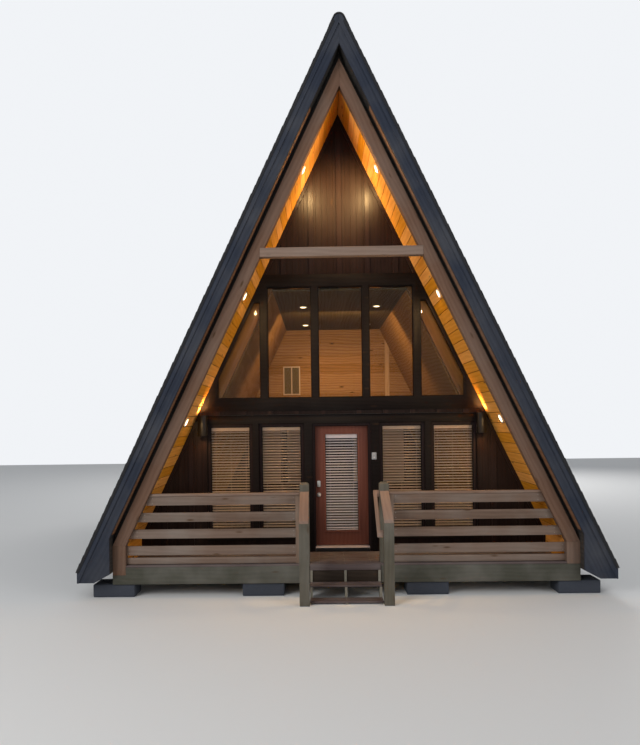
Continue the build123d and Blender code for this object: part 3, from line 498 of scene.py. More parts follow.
# width of each node's eased arrises, and its finish
easing = {
    "fascia_left": (0.004, "fasciaLeft"), "fascia_right": (0.004, "fasciaRight"),
    "front_timber_left": (0.006, "timberLeft"), "front_timber_right": (0.006, "timberRight"),
    "timber_feet": (0.005, "timberUpright"), "collar_tie": (0.006, "timberLevel"),
    "front_trim": (0.003, "darkLevel"), "upper_front_wall": (0.004, "darkUpright"),
    "deck_boards": (0.003, "deckLevel"), "deck_frame": (0.003, "treatedLevel"),
    "stair_posts": (0.004, "treatedUpright"), "stair_caps": (0.004, "railDeep"),
    "stair_handrail": (0.008, "railGrip"), "stair_treads": (0.004, "deckLevel"),
    "stair_stringers": (0.002, "treatedDeep"), "window_frames": (0.003, "darkUpright"),
    "door_frame": (0.002, "darkUpright"), "threshold": (0.003, "threshold"),
    "door_leaf": (0.004, "door"), "bell_box": (0.004, "bell"),
    "rafters_left": (0.003, "pineRafterLeft"), "rafters_right": (0.003, "pineRafterRight"),
    "return_grille": (0.002, "grilleFrame"), "door_hardware": (0.001, "nickel"),
}
eased = {node: softened(node, width, look) for node, (width, look) in easing.items()}
stairHalf = 0.56


def faceFront(piece, material, half=math.inf):
    # a second, dark material on the faces that look to the front, as far as half to each side: painted shade
    piece.data.materials.append(material)
    for face in piece.data.polygons:
        if face.normal.y < -0.8 and abs(face.center.x) < half:
            face.material_index = 1


# the threshold's front face in black metal: painted shade for the dark strip under the threshold
faceFront(eased["threshold"], finish["blackMetal"])
# the deck frame's front is cut at the stair's sides, and between them it is dark: painted shade behind the stairs
for x in (-stairHalf, stairHalf):
    cut(eased["deck_frame"], (x, 0, 0), (1, 0, 0))
faceFront(eased["deck_frame"], finish["shadedRim"], stairHalf)
print("nodes eased", len(eased))

plainNodes = {
    "siding": ("front_wall_left", "front_wall_right", "wall_over_door", "front_gable", "rear_wall"),
    "framing": ("roof_left", "roof_right"), "floorBoards": ("floor_platform", "upper_floor"),
    "ceiling": ("upper_ceiling",), "pineInside": ("upper_partition",), "glass": ("window_glass", "door_glass"),
}
for look, names in plainNodes.items():
    for node in names:
        dress(nodes[node], finish[look])

apex = Vector((0, 0, apexHeight))
slopeLength = (apexHeight - deckHeight) / math.sin(pitch)


def signed(values):
    return [side * value for value in values for side in (-1, 1)]


def toSlope(piece):
    # from local down-slope X and outward Z to the right slope
    return moved(piece, apex, (0, pitch, 0))


def slopeBar(name, along, depth, out):
    return toSlope(bar(name, (along[0], depth[0], out[0]), (along[1], depth[1], out[1])))


def bothSlopes(piece, name):
    return joined(name, [piece, otherSide(piece, name + "Other")])


def insideSlopes(piece, margin):
    # cut back to the soffit planes, less a margin
    trim(piece, apex - outRight * margin, outRight)
    outLeft = Vector((-outRight.x, 0, outRight.z))
    return trim(piece, apex - outLeft * margin, outLeft)


def standSides(right, otherName, node, look=None):
    # a piece and its mirrored copy take the places of a node's right and left
    for piece, side in ((right, "right"), (otherSide(right, otherName), "left")):
        standFor(node + "_" + side, piece, look and look + side.title())


lining = {"board": 0.184, "gap": 0.0035, "thick": 0.018, "groove": 0.005, "count": 46, "front": wallFace - 0.89,
          "back": rearFace + 0.56, "knee": 3.45, "kneeTop": 0.812, "kneeGroove": 0.003}


def liningSide():
    # boards along the house, one under the other down the slope, and two upright ones at its foot
    board = bar("liningBoard", (0, lining["front"], 0),
                (lining["board"] - lining["gap"], lining["back"], lining["thick"]))
    easeEdges(board, lining["groove"], 1)
    repeat(board, lining["count"], (lining["board"], 0, 0))
    trim(board, (slopeLength, 0, 0), (1, 0, 0))
    toSlope(board)
    knee = bar("kneeBoard", (lining["knee"], lining["front"], deckHeight),
               (lining["knee"] + lining["thick"], wallFace, (deckHeight + lining["kneeTop"]) / 2))
    easeEdges(knee, lining["kneeGroove"], 1)
    repeat(knee, 2, (0, 0, (lining["kneeTop"] - deckHeight) / 2))
    trim(knee, apex, outRight)
    return joined("liningBoards", [board, knee])


standSides(liningSide(), "liningBoardsLeft", "lining", "lining")
print("lining boards laid")

batten = {"width": 0.085, "thick": 0.019, "edge": 0.055, "edgeThick": 0.021, "ease": 0.002,
          "gable": 0.48, "gableSpan": (5.25, 8.0), "wall": 0.457, "wallStart": 0.305, "outer": (2.59, 3.047, 3.46),
          "wallTop": 2.755, "seamSpan": (2.851, 2.919), "rearTop": 2.84, "rearNear": 0.43, "rearHigh": (1.6, 2.06),
          "rearHighSpan": (3.09, 5.0), "flashing": (2.6, 0.042, 2.85, 2.858), "flashingGap": 0.01}


def battenRun(name, places, bottom, top, face, outward):
    low, high = sorted((face, face + outward * batten["thick"]))
    strips = [easeEdges(bar(name, (x - batten["width"] / 2, low, bottom), (x + batten["width"] / 2, high, top)),
                        batten["ease"], 1) for x in places]
    return insideSlopes(joined(name, strips), batten["edge"])


def edgeTrim(name, face, outward):
    low, high = sorted((face, face + outward * batten["edgeThick"]))
    strip = slopeBar(name, (0, slopeLength), (low, high), (-batten["edge"], -0.001))
    trim(strip, (0, 0, 0), (-1, 0, 0))
    return bothSlopes(easeEdges(strip, batten["ease"], 1), name)


gablePlaces = [0] + signed([batten["gable"], 2 * batten["gable"]])
outerPlaces = signed(batten["outer"])
seamPlaces = signed([batten["wallStart"] + batten["wall"] * step for step in range(5)])
battens = [battenRun("gableBattens", gablePlaces, *batten["gableSpan"], wallFace, -1),
           battenRun("wallBattens", outerPlaces, deckHeight, batten["wallTop"], wallFace, -1),
           battenRun("seamBattens", seamPlaces, *batten["seamSpan"], wallFace, -1)]
half, out, low, high = batten["flashing"]
flashing = insideSlopes(bar("headFlashing", (-half, wallFace - out, low), (half, wallFace, high)),
                        batten["flashingGap"])
easeEdges(flashing, batten["ease"], 1)
rearPlaces = [0] + signed([batten["rearNear"]]) + outerPlaces
battens += [edgeTrim("frontEdgeTrim", wallFace, -1),
            battenRun("rearLower", rearPlaces, deckHeight, batten["rearTop"], rearFace, 1),
            battenRun("rearMiddle", signed(batten["rearHigh"]), *batten["rearHighSpan"], rearFace, 1),
            battenRun("rearTop", gablePlaces, *batten["gableSpan"], rearFace, 1),
            edgeTrim("rearEdgeTrim", rearFace, 1)]
for piece in battens:
    stand(piece, "batten")
stand(flashing, "blackMetal")

# the rear windows' heights, and the outer faces of the boards round them and of the bands
low, high, upperLow, upperHigh = 0.784, 2.704, 3.143, 5.045
board, band = rearFace + 0.024, rearFace + 0.03
rear = {"window": (0.642, 2.302, low, high, 0.07), "upper": (-1.25, 1.25, upperLow, upperHigh, 0.1),
        "rearMullion": ((1.422, rearFace, low), (1.522, board, high)),
        "rearPost": ((0.378, rearFace, upperLow), (0.495, board, upperHigh)),
        "rearBelt": ((-2.7, rearFace, 2.84), (2.7, band, 3.04)),
        "rearSkirt": ((-3.6, rearFace, 0.21), (3.6, band, 0.52)),
        "sideSkirt": ((3.657, wallFace + 0.01, 0.21), (3.675, rearFace, 0.385))}


def casing(name, x0, x1, z0, z1, width, low, high):
    # four boards round an opening
    sides = [bar(name, (x0 - width, low, z0 - width), (x0, high, z1 + width)),
             bar(name, (x1, low, z0 - width), (x1 + width, high, z1 + width)),
             bar(name, (x0, low, z1), (x1, high, z1 + width)),
             bar(name, (x0, low, z0 - width), (x1, high, z0))]
    return joined(name, sides)


def rearPair(name):
    right = bar(name, *rear[name])
    return [right, otherSide(right, name)]


x0, x1, *around = rear["window"]
rearTrim = [casing("rearCasing", *sides, *around, rearFace, board) for sides in ((x0, x1), (-x1, -x0))]
rearTrim += rearPair("rearMullion")
rearTrim.append(casing("rearUpperCasing", *rear["upper"], rearFace, board))
rearTrim += rearPair("rearPost")
rearTrim += [insideSlopes(bar("rearBelt", *rear["rearBelt"]), batten["edge"]), bar("rearSkirt", *rear["rearSkirt"])]
rearTrim += rearPair("sideSkirt")
rearTrim = easeEdges(joined("rearTrimBoards", rearTrim), 0.003)
stand(rearTrim, "darkLevel")
print("siding battens and trim set")

shingle = {"course": 0.143, "rise": 0.006, "eave": 8.607, "front": wallFace - 1.2295, "length": 11.591,
           "outer": 0.4928, "deep": 0.158, "strip": (-0.0052, -0.0022), "tab": -0.0046, "rows": 4, "sheets": 17,
           "spans": 10, "stagger": 0.37, "top": -0.76, "underlay": ((-0.8, 0.002, 0.4805), (-0.02, 11.589, 0.484)),
           "teeth": ((0.0, 0.17), (0.26, 0.12), (0.45, 0.22), (0.76, 0.15), (0.99, 0.13))}


def shingleSlope():
    # laminated shingles: a thin base strip and thicker tabs of mixed widths, four courses repeated
    deep, front = shingle["deep"], shingle["front"]
    span = shingle["length"] / shingle["spans"]
    lean = math.atan(shingle["rise"] / shingle["course"])
    rows = []
    for row in range(shingle["rows"]):
        base = bar("course", (-deep, 0, shingle["strip"][0]), (0, shingle["length"], shingle["strip"][1]))
        teeth = []
        for start, width in shingle["teeth"]:
            shift = (start + row * shingle["stagger"]) % (span - width)
            teeth.append(bar("tooth", (-deep, shift, shingle["tab"]), (0, shift + width, 0)))
        teeth = repeat(joined("teeth", teeth), shingle["spans"], (0, span, 0))
        both = joined("courseRow", [moved(base, (0, front, 0)), moved(teeth, (0, front, 0))])
        rows.append(moved(both, (shingle["eave"] - row * shingle["course"], 0, shingle["outer"]), (0, lean, 0)))
    sheet = joined("shingleCourses", rows)
    repeat(sheet, shingle["sheets"], (-shingle["rows"] * shingle["course"], 0, 0))
    trim(sheet, (shingle["top"], 0, 0), (-1, 0, 0))
    start, end = shingle["underlay"]
    underlay = bar("underlay", (start[0], front + start[1], start[2]),
                   (shingle["eave"] + end[0], front + end[1], end[2]))
    return toSlope(joined("shingleCourses", [sheet, underlay]))


standSides(shingleSlope(), "shingleCoursesLeft", "roofing", "roofing")

ridge = {"exposure": 0.2, "length": 0.26, "drop": 0.007, "count": 58, "ease": 0.001}
capPiece = nodeCopy("ridge_cap", "ridgeCaps")
capStart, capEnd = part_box("ridge_cap")
trim(capPiece, (0, capStart.y + ridge["length"], 0), (0, 1, 0))
pick(capPiece)
bpy.ops.transform.rotate(value=-math.atan(ridge["drop"] / ridge["length"]), orient_axis="X",
                         center_override=(0, capStart.y, capEnd.z))
placeInMesh(capPiece)
repeat(capPiece, ridge["count"], (0, ridge["exposure"], 0))
trim(capPiece, (0, capEnd.y - 0.001, 0), (0, 1, 0))
easeEdges(capPiece, ridge["ease"], 1)
standFor("ridge_cap", smooth(capPiece), "roofingCap")

# each edge's reach down the slope, along the house and out from the soffit
edges = {"rakeEdge": ((-0.78, 8.6), (wallFace - 1.2285, wallFace - 1.2185), (0.448, 0.4815)),
         "rakeEdgeRear": ((-0.78, 8.6), (rearFace + 0.601, rearFace + 0.61), (0.44, 0.4815)),
         "eaveEdge": ((8.575, 8.592), (wallFace - 1.225, rearFace + 0.6), (0.452, 0.4805)),
         "rakeSoffit": ((0.55, 7.85), (wallFace - 1.158, wallFace - 1.03), (0.239, 0.2485))}
metal = [slopeBar(name, *edges[name]) for name in ("rakeEdge", "rakeEdgeRear", "eaveEdge")]
metal = bothSlopes(joined("metalEdges", metal), "metalEdges")
stand(easeEdges(metal, 0.002, 1), "blackMetal")
underBoards = bothSlopes(easeEdges(slopeBar("rakeSoffit", *edges["rakeSoffit"]), 0.002, 1), "rakeSoffit")
stand(underBoards, "eaveBoards")
print("roof covered")

block = {"joint": 0.01, "base": 0.004, "height": 0.205, "wall": 0.2, "ease": 0.006, "half": 3.6575, "acrossCount": 18,
         "alongCount": 23, "alongLength": 9.35, "mortar": (0.007, 0.193), "mortarTop": 0.2}
pierBlock = {"places": (1.29, 3.65), "half": 0.33, "depth": 0.4, "ease": 0.022, "mortarHalf": 0.322,
             "mortar": (0.008, 0.392)}


def blockRow(name, start, length, count, low, alongDepth):
    # a course of count blocks over a length in X or, with alongDepth, in Y
    step = length / count
    first = start + block["joint"] / 2
    last, high = first + (step - block["joint"]), low + block["wall"]
    near, far = ((low, first), (high, last)) if alongDepth else ((first, low), (last, high))
    unit = easeEdges(bar(name, (*near, block["base"]), (*far, block["height"])), block["ease"])
    return repeat(unit, count, (0, step, 0) if alongDepth else (step, 0, 0))


half, wall, mortarTop = block["half"], block["wall"], block["mortarTop"]
inner, outer = block["mortar"]
ring = []
for low in (wallFace, rearFace - wall):
    ring += [blockRow("acrossBlocks", -half, 2 * half, block["acrossCount"], low, False),
             bar("mortar", (-half + inner, low + inner, 0), (half - inner, low + outer, mortarTop))]
for low in (-half, half - wall):
    ring += [blockRow("sideBlocks", wallFace + wall, block["alongLength"], block["alongCount"], low, True),
             bar("mortar", (low + inner, wallFace + inner, 0), (low + outer, rearFace - inner, mortarTop))]
standFor("foundation_walls", joined("foundationBlocks", ring), "masonry")
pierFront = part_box("deck_piers")[0].y
half, joint = pierBlock["half"], pierBlock["mortarHalf"]
inner, outer = pierBlock["mortar"]
piers = []
for centre in signed(pierBlock["places"]):
    pier = bar("pierBlock", (centre - half, pierFront, block["base"]),
               (centre + half, pierFront + pierBlock["depth"], block["height"]))
    piers.append(smooth(easeEdges(pier, pierBlock["ease"], 4)))
    piers.append(bar("mortar", (centre - joint, pierFront + inner, 0),
                     (centre + joint, pierFront + outer, mortarTop)))
standFor("deck_piers", joined("pierBlocks", piers), "masonry")
print("block work laid")

blind = {"radius": 0.062, "pitch": 0.0465, "half": 0.333, "bottom": 0.842, "top": 2.652, "depth": 0.108,
         "ladders": (-0.26, 0.0, 0.26), "place": -1.912, "spacing": 0.88, "wand": (0.3, 0.032, 2.27),
         "wandLength": 0.62}
doorBlind = {"radius": 0.04, "width": 0.03, "tilt": 34, "pitch": 0.046, "half": 0.272, "ladders": (-0.2, 0.2)}
slatSet = {"thick": 0.002, "first": 0.045, "last": 0.075, "head": 0.07, "foot": (0.002, 0.016), "ease": 0.003,
           "headShare": 0.45, "footShare": 0.8, "cord": 0.0011, "cordShare": 0.86, "cordShort": 0.05, "cordDrop": 0.02}


def rod(name, radius, length, place, axis, sides):
    # round bar along Y or Z
    turn = {"Y": (quarter, 0, 0), "Z": (0, 0, 0)}[axis]
    return primitive(name, bpy.ops.mesh.primitive_cylinder_add, vertices=sides, radius=radius, depth=length,
                     location=place, rotation=turn)


def slatBlind(given, middle, bottom, top, face):
    # crowned slats on ladder cords between a head box and a foot rail; face is -1 to the front
    half = given["half"]
    slat = primitive("slat", bpy.ops.mesh.primitive_cylinder_add, vertices=56, radius=given["radius"],
                     depth=2 * half, end_fill_type="NOTHING", rotation=(0, quarter, 0))
    level = math.sqrt(given["radius"] ** 2 - (given["width"] / 2) ** 2)
    cut(slat, (0, 0, level), (0, 0, 1), clear_inner=True)
    moved(slat, (0, 0, -given["radius"]))
    modify(slat, "SOLIDIFY", thickness=slatSet["thick"], offset=0)
    smooth(slat)
    moved(slat, (0, middle, bottom + slatSet["first"]), (-face * math.radians(given["tilt"]), 0, 0))
    count = int((top - slatSet["last"] - bottom - slatSet["first"]) / given["pitch"]) + 1
    repeat(slat, count, (0, 0, given["pitch"]))
    deep = given["width"] * slatSet["headShare"]
    footDeep = deep * slatSet["footShare"]
    head = bar("head", (-half, middle - deep, top - slatSet["head"]), (half, middle + deep, top))
    easeEdges(head, slatSet["ease"])
    low, high = slatSet["foot"]
    foot = bar("foot", (-half, middle - footDeep, bottom + low), (half, middle + footDeep, bottom + high))
    easeEdges(foot, slatSet["ease"])
    cords = [rod("cord", slatSet["cord"], top - bottom - slatSet["cordShort"],
                 (x, middle + side * deep * slatSet["cordShare"], (top + bottom) / 2 - slatSet["cordDrop"]), "Z", 6)
             for x in given["ladders"] for side in (-1, 1)]
    return joined("slatBlind", [slat, head, foot] + cords)


blinds = []
for face, wall, tilt, width in ((-1, wallFace, 22, 0.046), (1, rearFace, 77, 0.053)):
    one = slatBlind(dict(blind, tilt=tilt, width=width), wall - face * blind["depth"], blind["bottom"], blind["top"],
                    face)
    x, gap, z = blind["wand"]
    wand = rod("wand", 0.004, blind["wandLength"], (x, wall - face * (blind["depth"] + gap), z), "Z", 10)
    one = moved(joined("slatBlind", [one, wand]), (blind["place"], 0, 0))
    blinds.append(repeat(one, 2, (blind["spacing"], 0, 0)))
blinds = joined("windowSlats", blinds)
blinds = joined("windowSlats", [blinds, otherSide(blinds, "windowSlatsRight")])
standFor("window_blinds", blinds, "slat")
low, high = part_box("door_blind")
standFor("door_blind", slatBlind(doorBlind, (low.y + high.y) / 2, low.z, high.z, -1), "slatPale")
print("blinds hung")

lamp = {"x": 2.356, "z": 2.68, "reach": 0.145, "radius": 0.083, "length": 0.35, "wall": 0.007, "recess": 0.03,
        "plate": ((2.317, wallFace - 0.02, 2.521), (2.395, wallFace, 2.679)), "arm": (2.336, 2.376, 2.58, 2.62),
        "screws": (2.54, 2.66), "lens": 0.072, "lensAt": 0.153}


def recessEnds(piece, wall, depth):
    # both round ends set back behind a rim
    pick(piece)
    bpy.ops.object.mode_set(mode="EDIT")
    bpy.ops.mesh.select_mode(type="FACE")
    bpy.ops.mesh.select_all(action="DESELECT")
    bpy.ops.mesh.select_face_by_sides(number=4, type="GREATER", extend=False)
    bpy.ops.mesh.inset(thickness=wall, depth=0)
    bpy.ops.mesh.inset(thickness=wall * 0.3, depth=-depth)
    bpy.ops.object.mode_set(mode="OBJECT")
    return piece


def wallLamp():
    # a drum, open at both ends, on an arm from a wall plate with two screws
    x, y = lamp["x"], wallFace - lamp["reach"]
    body = rod("lampBody", lamp["radius"], lamp["length"], (x, y, lamp["z"]), "Z", 48)
    easeEdges(recessEnds(body, lamp["wall"], lamp["recess"]), 0.0015)
    plate = easeEdges(bar("plate", *lamp["plate"]), 0.006, 3)
    left, right, low, high = lamp["arm"]
    arm = easeEdges(bar("arm", (left, y, low), (right, wallFace - 0.018, high)), 0.005, 3)
    screws = [easeEdges(rod("screw", 0.005, 0.004, (x, wallFace - 0.0215, z), "Y", 12), 0.001)
              for z in lamp["screws"]]
    return smooth(joined("wallLamp", [body, plate, arm] + screws))


fixture = wallLamp()
fixture = joined("wallLamps", [fixture, otherSide(fixture, "otherLamp")])
standFor("wall_lamps", fixture, "bronze")
lenses = [rod("lens", lamp["lens"], 0.006, (lamp["x"], wallFace - lamp["reach"], lamp["z"] + z), "Z", 40)
          for z in (-lamp["lensAt"], lamp["lensAt"])]

spot = {"heights": (2.745, 4.75, 6.755), "y": wallFace - 0.78, "ceiling": 5.0, "ring": (0.0745, 0.0135, 0.007),
        "lens": (0.056, 0.004, 0.0105), "rim": (0.016, 0.004),
        "room": [(x, wallFace + y) for x in (-0.665, 0.785) for y in (1.84, 4.44)]}
spotStep = (spot["heights"][1] - spot["heights"][0]) / math.sin(pitch)
spotFirst = (apexHeight - spot["heights"][2]) / math.sin(pitch)


def spotPart(name, radius, length, sink, ring):
    # one part of each downlight: three on each slope, and those of the room's ceiling
    def one(x, y, z):
        part = rod(name, radius, length, (x, y, z), "Z", 40)
        return easeEdges(recessEnds(part, *spot["rim"]), 0.001) if ring else part

    onSlope = repeat(one(spotFirst, spot["y"], -sink), 3, (spotStep, 0, 0))
    inRoom = [one(x, y, spot["ceiling"] - sink) for x, y in spot["room"]]
    return joined(name, [bothSlopes(toSlope(onSlope), name)] + inRoom)


standFor("downlights", smooth(spotPart("spotRings", *spot["ring"], True)), "enamel")
lenses = [bothSlopes(joined("lampLenses", lenses), "lampLenses"), spotPart("spotLens", *spot["lens"], False)]
lenses = easeEdges(joined("lightLenses", lenses), 0.0015)
stand(smooth(lenses), "lens")
print("lights fitted")

glazing = {"bead": 0.014, "lowDepth": (0.04, 0.0545), "highDepth": (0.044, 0.0595), "centres": (1.032, 1.912),
           "half": 0.34, "low": (0.834, 2.654), "high": (3.143, 5.045), "beside": (0.495, 1.25), "middle": 0.378,
           "slant": ((1.375, 1.389, 3.143, 4.79), (1.375, 2.117, 3.143, 3.157), (1.375, 1.491, 4.776, 4.79),
                     (2.103, 2.117, 3.143, 3.489)),
           "slantRun": (3.521, 4.965), "slantOut": (-0.054, -0.04),
           "sill": ((0.6, wallFace - 0.05, 0.722), (2.335, wallFace - 0.02, 0.752))}


def bead(x0, x1, span, depth):
    # four slim beads inside a pane's edges
    width = glazing["bead"]
    return casing("bead", x0 + width, x1 - width, span[0] + width, span[1] - width, width, *depth)


beads = []
half, middle = glazing["half"], glazing["middle"]
for face, wall in ((-1, wallFace), (1, rearFace)):
    lowDepth, highDepth = (sorted(wall - face * depth for depth in glazing[key]) for key in ("lowDepth", "highDepth"))
    beads += [bead(centre - half, centre + half, glazing["low"], lowDepth) for centre in glazing["centres"]]
    beads += [bead(*glazing["beside"], glazing["high"], highDepth),
              trim(bead(-middle, middle, glazing["high"], highDepth), (0, 0, 0), (-1, 0, 0))]
slantDepth = sorted(wallFace + depth for depth in glazing["highDepth"])
beads += [bar("bead", (x0, slantDepth[0], z0), (x1, slantDepth[1], z1)) for x0, x1, z0, z1 in glazing["slant"]]
beads += [slopeBar("bead", glazing["slantRun"], slantDepth, glazing["slantOut"]), bar("sill", *glazing["sill"])]
beads = easeEdges(bothSlopes(joined("glazingBeads", beads), "glazingBeads"), 0.002, 1)
stand(beads, "darkLevel")

# the upper room's back wall, floor and ceiling
wall, floor, ceiling = wallFace + 5.38, 2.951, 4.999
room = {"wallBoard": ((-2.5, wall - 0.007, floor), (2.5, wall + 0.001, floor + 0.24)), "board": 0.24, "boards": 9,
        "roomSlope": ((3.12, 5.6), (wallFace + 0.242, wall - 0.008), (-0.249, -0.236)),
        "roomTrim": ((1.277, wall - 0.024, floor), (1.384, wall - 0.006, ceiling)),
        "roomSkirting": ((-2.4, wall - 0.02, floor), (2.4, wall - 0.006, 3.05)),
        "grillePane": ((-1.225, wall - 0.0125, 3.42), (-1.0585, wall - 0.0102, 4.07)), "paneStep": 0.1965,
        "louvre": ((-1.225, wall - 0.0185, -0.0015), (-1.0585, wall - 0.012, 0.0015)), "louvreFirst": 3.43,
        "louvreStep": 0.021, "louvres": 31}
panel = easeEdges(bar("wallBoard", *room["wallBoard"]), 0.002, 1)
repeat(panel, room["boards"], (0, 0, room["board"]))
trim(panel, (0, 0, ceiling), (0, 0, 1))
stand(insideSlopes(panel, 0.001), "roomBoards")
slopes = trim(slopeBar("roomSlope", *room["roomSlope"]), (0, 0, ceiling), (0, 0, 1))
trim(slopes, (0, 0, floor), (0, 0, -1))
stand(bothSlopes(slopes, "roomSlopes"), "roomSlope")
roomTrim = [bar("roomTrim", *room["roomTrim"]), insideSlopes(bar("roomSkirting", *room["roomSkirting"]), 0.002)]
stand(easeEdges(joined("roomTrim", roomTrim), 0.003), "roomTrim")
panes = repeat(bar("grillePane", *room["grillePane"]), 2, (room["paneStep"], 0, 0))
panes.name = "grillePanes"
stand(panes, "grillePanel")
louvre = moved(easeEdges(bar("louvre", *room["louvre"]), 0.0005, 1), (0, 0, room["louvreFirst"]))
repeat(louvre, room["louvres"], (0, 0, room["louvreStep"]))
repeat(louvre, 2, (room["paneStep"], 0, 0))
stand(louvre, "grillePanel")
print("glazing and upper room fitted")

rail = {"front": wallFace - 0.96, "thick": 0.038, "tops": (1.579, 1.317, 1.055, 0.793), "height": 0.145,
        "low": (0.51, 0.61), "post": 0.704, "start": 0.774, "end": 3.449, "cap": (0.025, 0.065, 1.617),
        "screw": (0.0045, 0.0016), "screwDrops": (0.035, 0.11), "screwLast": 3.42}


def railSide():
    # boards and cap cut to the slope, a cleat at the stair post, and a pair of screws at each board's ends
    start, end, front, top = rail["start"], rail["end"], rail["front"], rail["tops"][0]
    spans = [(high - rail["height"], high) for high in rail["tops"]] + [rail["low"]]
    boards = [bar("board", (start, front, low), (end, front + rail["thick"], high)) for low, high in spans]
    boards = dress(joined("boards", boards), finish["railBoards"])
    before, behind, capTop = rail["cap"]
    cap = dress(bar("cap", (rail["post"], front - before, top), (end, front + behind, capTop)), finish["railLevel"])
    side = joined("railBoards", [boards, cap])
    trim(side, apex - outRight * 0.001, outRight)
    cleat = bar("cleat", (rail["post"], front, deckHeight), (start, front + rail["thick"], top))
    side = easeEdges(joined("railSide", [side, dress(cleat, finish["railUpright"])]), 0.003)
    screws = []
    for high in rail["tops"]:
        slopeEnd = 3.6 - (high - deckHeight) / math.tan(pitch) - 0.05
        screws += [rod("screw", *rail["screw"], (x, front - 0.0004, high - drop), "Y", 10)
                   for x in (start + 0.03, min(rail["screwLast"], slopeEnd)) for drop in rail["screwDrops"]]
    return smooth(joined("railSide", [side, dress(joined("screws", screws), finish["zinc"])]))


standSides(railSide(), "railSideLeft", "railing")

deck = {"screw": (0.005, 0.0016), "joist": 0.406, "board": 0.147, "edge": 0.025, "pair": 0.09,
        "treads": ((0, 0.2278), (1, 0.0458)), "treadPlaces": (-0.53, 0.0, 0.53), "treadGoing": 0.245,
        "treadScrews": (0.025, 0.09, 0.15, 0.215)}
# two screws in each of 7 boards over each of 17 joists, then those in the treads
first = (-8 * deck["joist"], wallFace - deck["edge"], deckHeight - 0.0002)
screws = [rod("deckScrews", *deck["screw"], first, "Z", 8)]
for count, step in ((2, (0, -deck["pair"], 0)), (7, (0, -deck["board"], 0)), (17, (deck["joist"], 0, 0))):
    repeat(screws[0], count, step)
for step, z in deck["treads"]:
    front = wallFace - 1.03 - deck["edge"] - step * deck["treadGoing"]
    screws += [rod("treadScrew", *deck["screw"], (x, front - y, z), "Z", 8)
               for x in deck["treadPlaces"] for y in deck["treadScrews"]]
stand(joined("deckScrews", screws), "zinc")

lockX, lockZ, leafFace = -0.398, 1.633, wallFace + 0.105
# radius, thickness, place, sides, and width and segments of the eased rim
discs = {"lockCore": (0.015, 0.006, (lockX, leafFace - 0.0265, lockZ), 32, 0.0015, 2),
         "rose": (0.036, 0.008, (lockX, leafFace - 0.004, 1.462), 40, 0.002, 3),
         "button": (0.013, 0.004, (0.55, wallFace - 0.0515, 2.105), 32, 0.0012, 2),
         "eye": (0.008, 0.003, (0.55, wallFace - 0.051, 2.165), 24, 0.001, 2)}


def disc(name):
    radius, thick, place, sides, ease, segments = discs[name]
    return easeEdges(rod(name, radius, thick, place, "Y", sides), ease, segments)


keyway = bar("keyway", (lockX - 0.0012, leafFace - 0.031, lockZ - 0.007),
             (lockX + 0.0012, leafFace - 0.028, lockZ + 0.007))
parts = [disc("lockCore"), easeEdges(keyway, 0.0004, 1), disc("rose")]
stand(smooth(joined("lockDetails", parts)), "nickel", "front_door")
stand(smooth(joined("bellButton", [disc("button"), disc("eye")])), "button")
print("rails, screws and fittings set")

stage = {"floorReach": 60.0, "floorColour": (0.80, 0.79, 0.77), "soft": (0.88, 0.93, 1.0), "softPower": 0.38,
         "backdrop": (0.88, 0.9, 0.93), "camera": (-0.394, -11.82, 2.7475), "lens": 33.325, "clipEnd": 200,
         "shift": (0.0167, 0.06585), "roll": -0.728, "turn": 0.894, "tilt": -0.08}


def paleStage():
    floor = primitive("floorSheet", bpy.ops.mesh.primitive_plane_add, size=stage["floorReach"],
                      location=(0, 0, -0.001))
    material = bpy.data.materials.new("paleFloor")
    material.use_nodes = True
    tree = material.node_tree
    fill(tree, tree.nodes["Principled BSDF"], {"Base Color": rgb(*stage["floorColour"]), "Roughness": 0.9})
    floor.data.materials.append(material)
    world = bpy.context.scene.world or bpy.data.worlds.new("studioWorld")
    bpy.context.scene.world = world
    world.use_nodes = True
    tree = world.node_tree
    tree.nodes.clear()
    # soft light on the house, and a pale backdrop where the camera, gloss and glass see it
    path = put(tree, "LightPath")
    soft = put(tree, "Background", {"Color": rgb(*stage["soft"]), "Strength": stage["softPower"]})
    shown = put(tree, "Background", {"Color": rgb(*stage["backdrop"]), "Strength": 1.0})
    mirrored = calc(tree, "MAXIMUM", path.outputs["Is Glossy Ray"], path.outputs["Is Transmission Ray"])
    seen = calc(tree, "MAXIMUM", path.outputs["Is Camera Ray"], mirrored)
    mixed = put(tree, "MixShader", {0: seen, 1: soft.outputs[0], 2: shown.outputs[0]})
    put(tree, "OutputWorld", {"Surface": mixed.outputs[0]})


def addLamp(name, kind, place, direction, power, colour, **settings):
    light = bpy.data.lights.new(name, kind)
    light.energy = power
    light.color = colour
    for key, value in settings.items():
        setattr(light, key, value)
    holder = addObject(name, light)
    holder.location = place
    holder.rotation_euler = Vector(direction).to_track_quat("-Z", "Y").to_euler()
    return holder


def softLamp(name, place, aim, size, power, colour=(1, 1, 1)):
    holder = addLamp(name, "AREA", place, Vector(aim) - Vector(place), power, colour, shape="DISK", size=size)
    holder.visible_camera = holder.visible_glossy = holder.visible_transmission = False


def spotLamp(name, place, direction, power, spread, colour=(1.0, 0.65, 0.27)):
    addLamp(name, "SPOT", place, direction, power, colour, spot_size=math.radians(spread), spot_blend=0.95,
            shadow_soft_size=0.03)


# the soffit lamps from the top down: power, spread and direction of the beam, and power of the glow round it
soffitLamps = ((175, 104, (-0.46, 0.74, -0.26), 76), (80, 125, (-0.5, 0.6, -0.72), 34),
               (32, 125, (-0.5, 0.6, -0.72), 26))
lampGlow = {"down": 6, "up": 38, "spread": 105, "colour": (1.0, 0.5, 0.17), "reach": 0.18}
roomGlow = {"height": 4.97, "power": 40, "spread": 118, "colour": (1.0, 0.60, 0.28)}
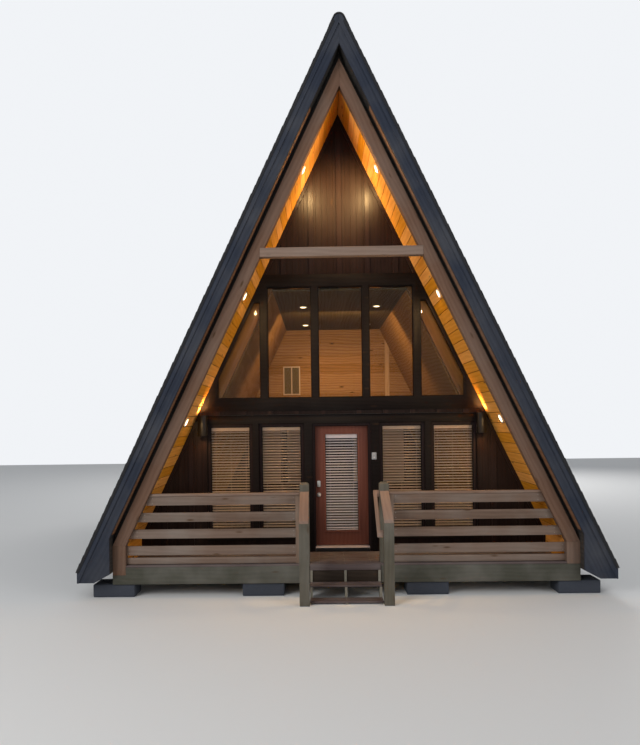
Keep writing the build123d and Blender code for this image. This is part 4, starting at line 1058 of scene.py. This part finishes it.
# place, aim, size and power of each soft lamp, and the colour of those in the rooms
softLamps = {
    "keyLamp": ((-11, wallFace - 14, 9), (0, wallFace, 3), 9, 1400),
    "fillLamp": ((13, wallFace - 12, 6), (0, wallFace, 3), 9, 600),
    "rearLamp": ((6, rearFace + 12, 12), (0, rearFace, 3), 9, 1800),
    "upperRoomLamp": ((0, wallFace + 2.4, 4.9), (0, wallFace + 4.4, 3.5), 2.0, 92, (1.0, 0.66, 0.34)),
    "groundRoomLamp": ((0, wallFace + 2.5, 2.6), (0, wallFace + 1.5, 1), 1.2, 1, (1.0, 0.5, 0.18)),
}


def fittingLamps():
    for side in (-1, 1):
        for index, (power, spread, beam, glow) in enumerate(soffitLamps):
            lens = apex + downRight * (spotFirst + index * spotStep) - outRight * 0.03
            place = (side * lens.x, spot["y"], lens.z)
            spotLamp("soffitSpot", place, (side * beam[0], beam[1], beam[2]), power, spread)
            spotLamp("soffitGlow", place, (-side * outRight.x, -0.1, -outRight.z), glow, 165)
        for end, power in ((-1, lampGlow["down"]), (1, lampGlow["up"])):
            spotLamp("lampGlow", (side * lamp["x"], wallFace - lamp["reach"], lamp["z"] + end * lampGlow["reach"]),
                     (side * 0.1 * (end + 1), 0.2, end), power, lampGlow["spread"], lampGlow["colour"])
    for x, y in spot["room"]:
        spotLamp("roomSpot", (x, y, roomGlow["height"]), (-0.3 * x, 0.15, -1), roomGlow["power"], roomGlow["spread"],
                 roomGlow["colour"])


def photoCamera():
    camera = bpy.data.cameras.new("photoView")
    camera.lens = stage["lens"]
    camera.sensor_width = 36
    camera.shift_x, camera.shift_y = stage["shift"]
    camera.clip_end = stage["clipEnd"]
    holder = addObject("photoView", camera)
    x, back, z = stage["camera"]
    holder.location = (x, wallFace + back, z)
    holder.rotation_euler = (Matrix.Rotation(math.radians(stage["turn"]), 3, "Z")
                             @ Matrix.Rotation(quarter + math.radians(stage["tilt"]), 3, "X")
                             @ Matrix.Rotation(math.radians(stage["roll"]), 3, "Z")).to_euler()
    bpy.context.scene.camera = holder


paleStage()
fittingLamps()
for name, values in softLamps.items():
    softLamp(name, *values)
photoCamera()
bpy.context.scene.view_settings.view_transform = "Standard"
print("stage set")
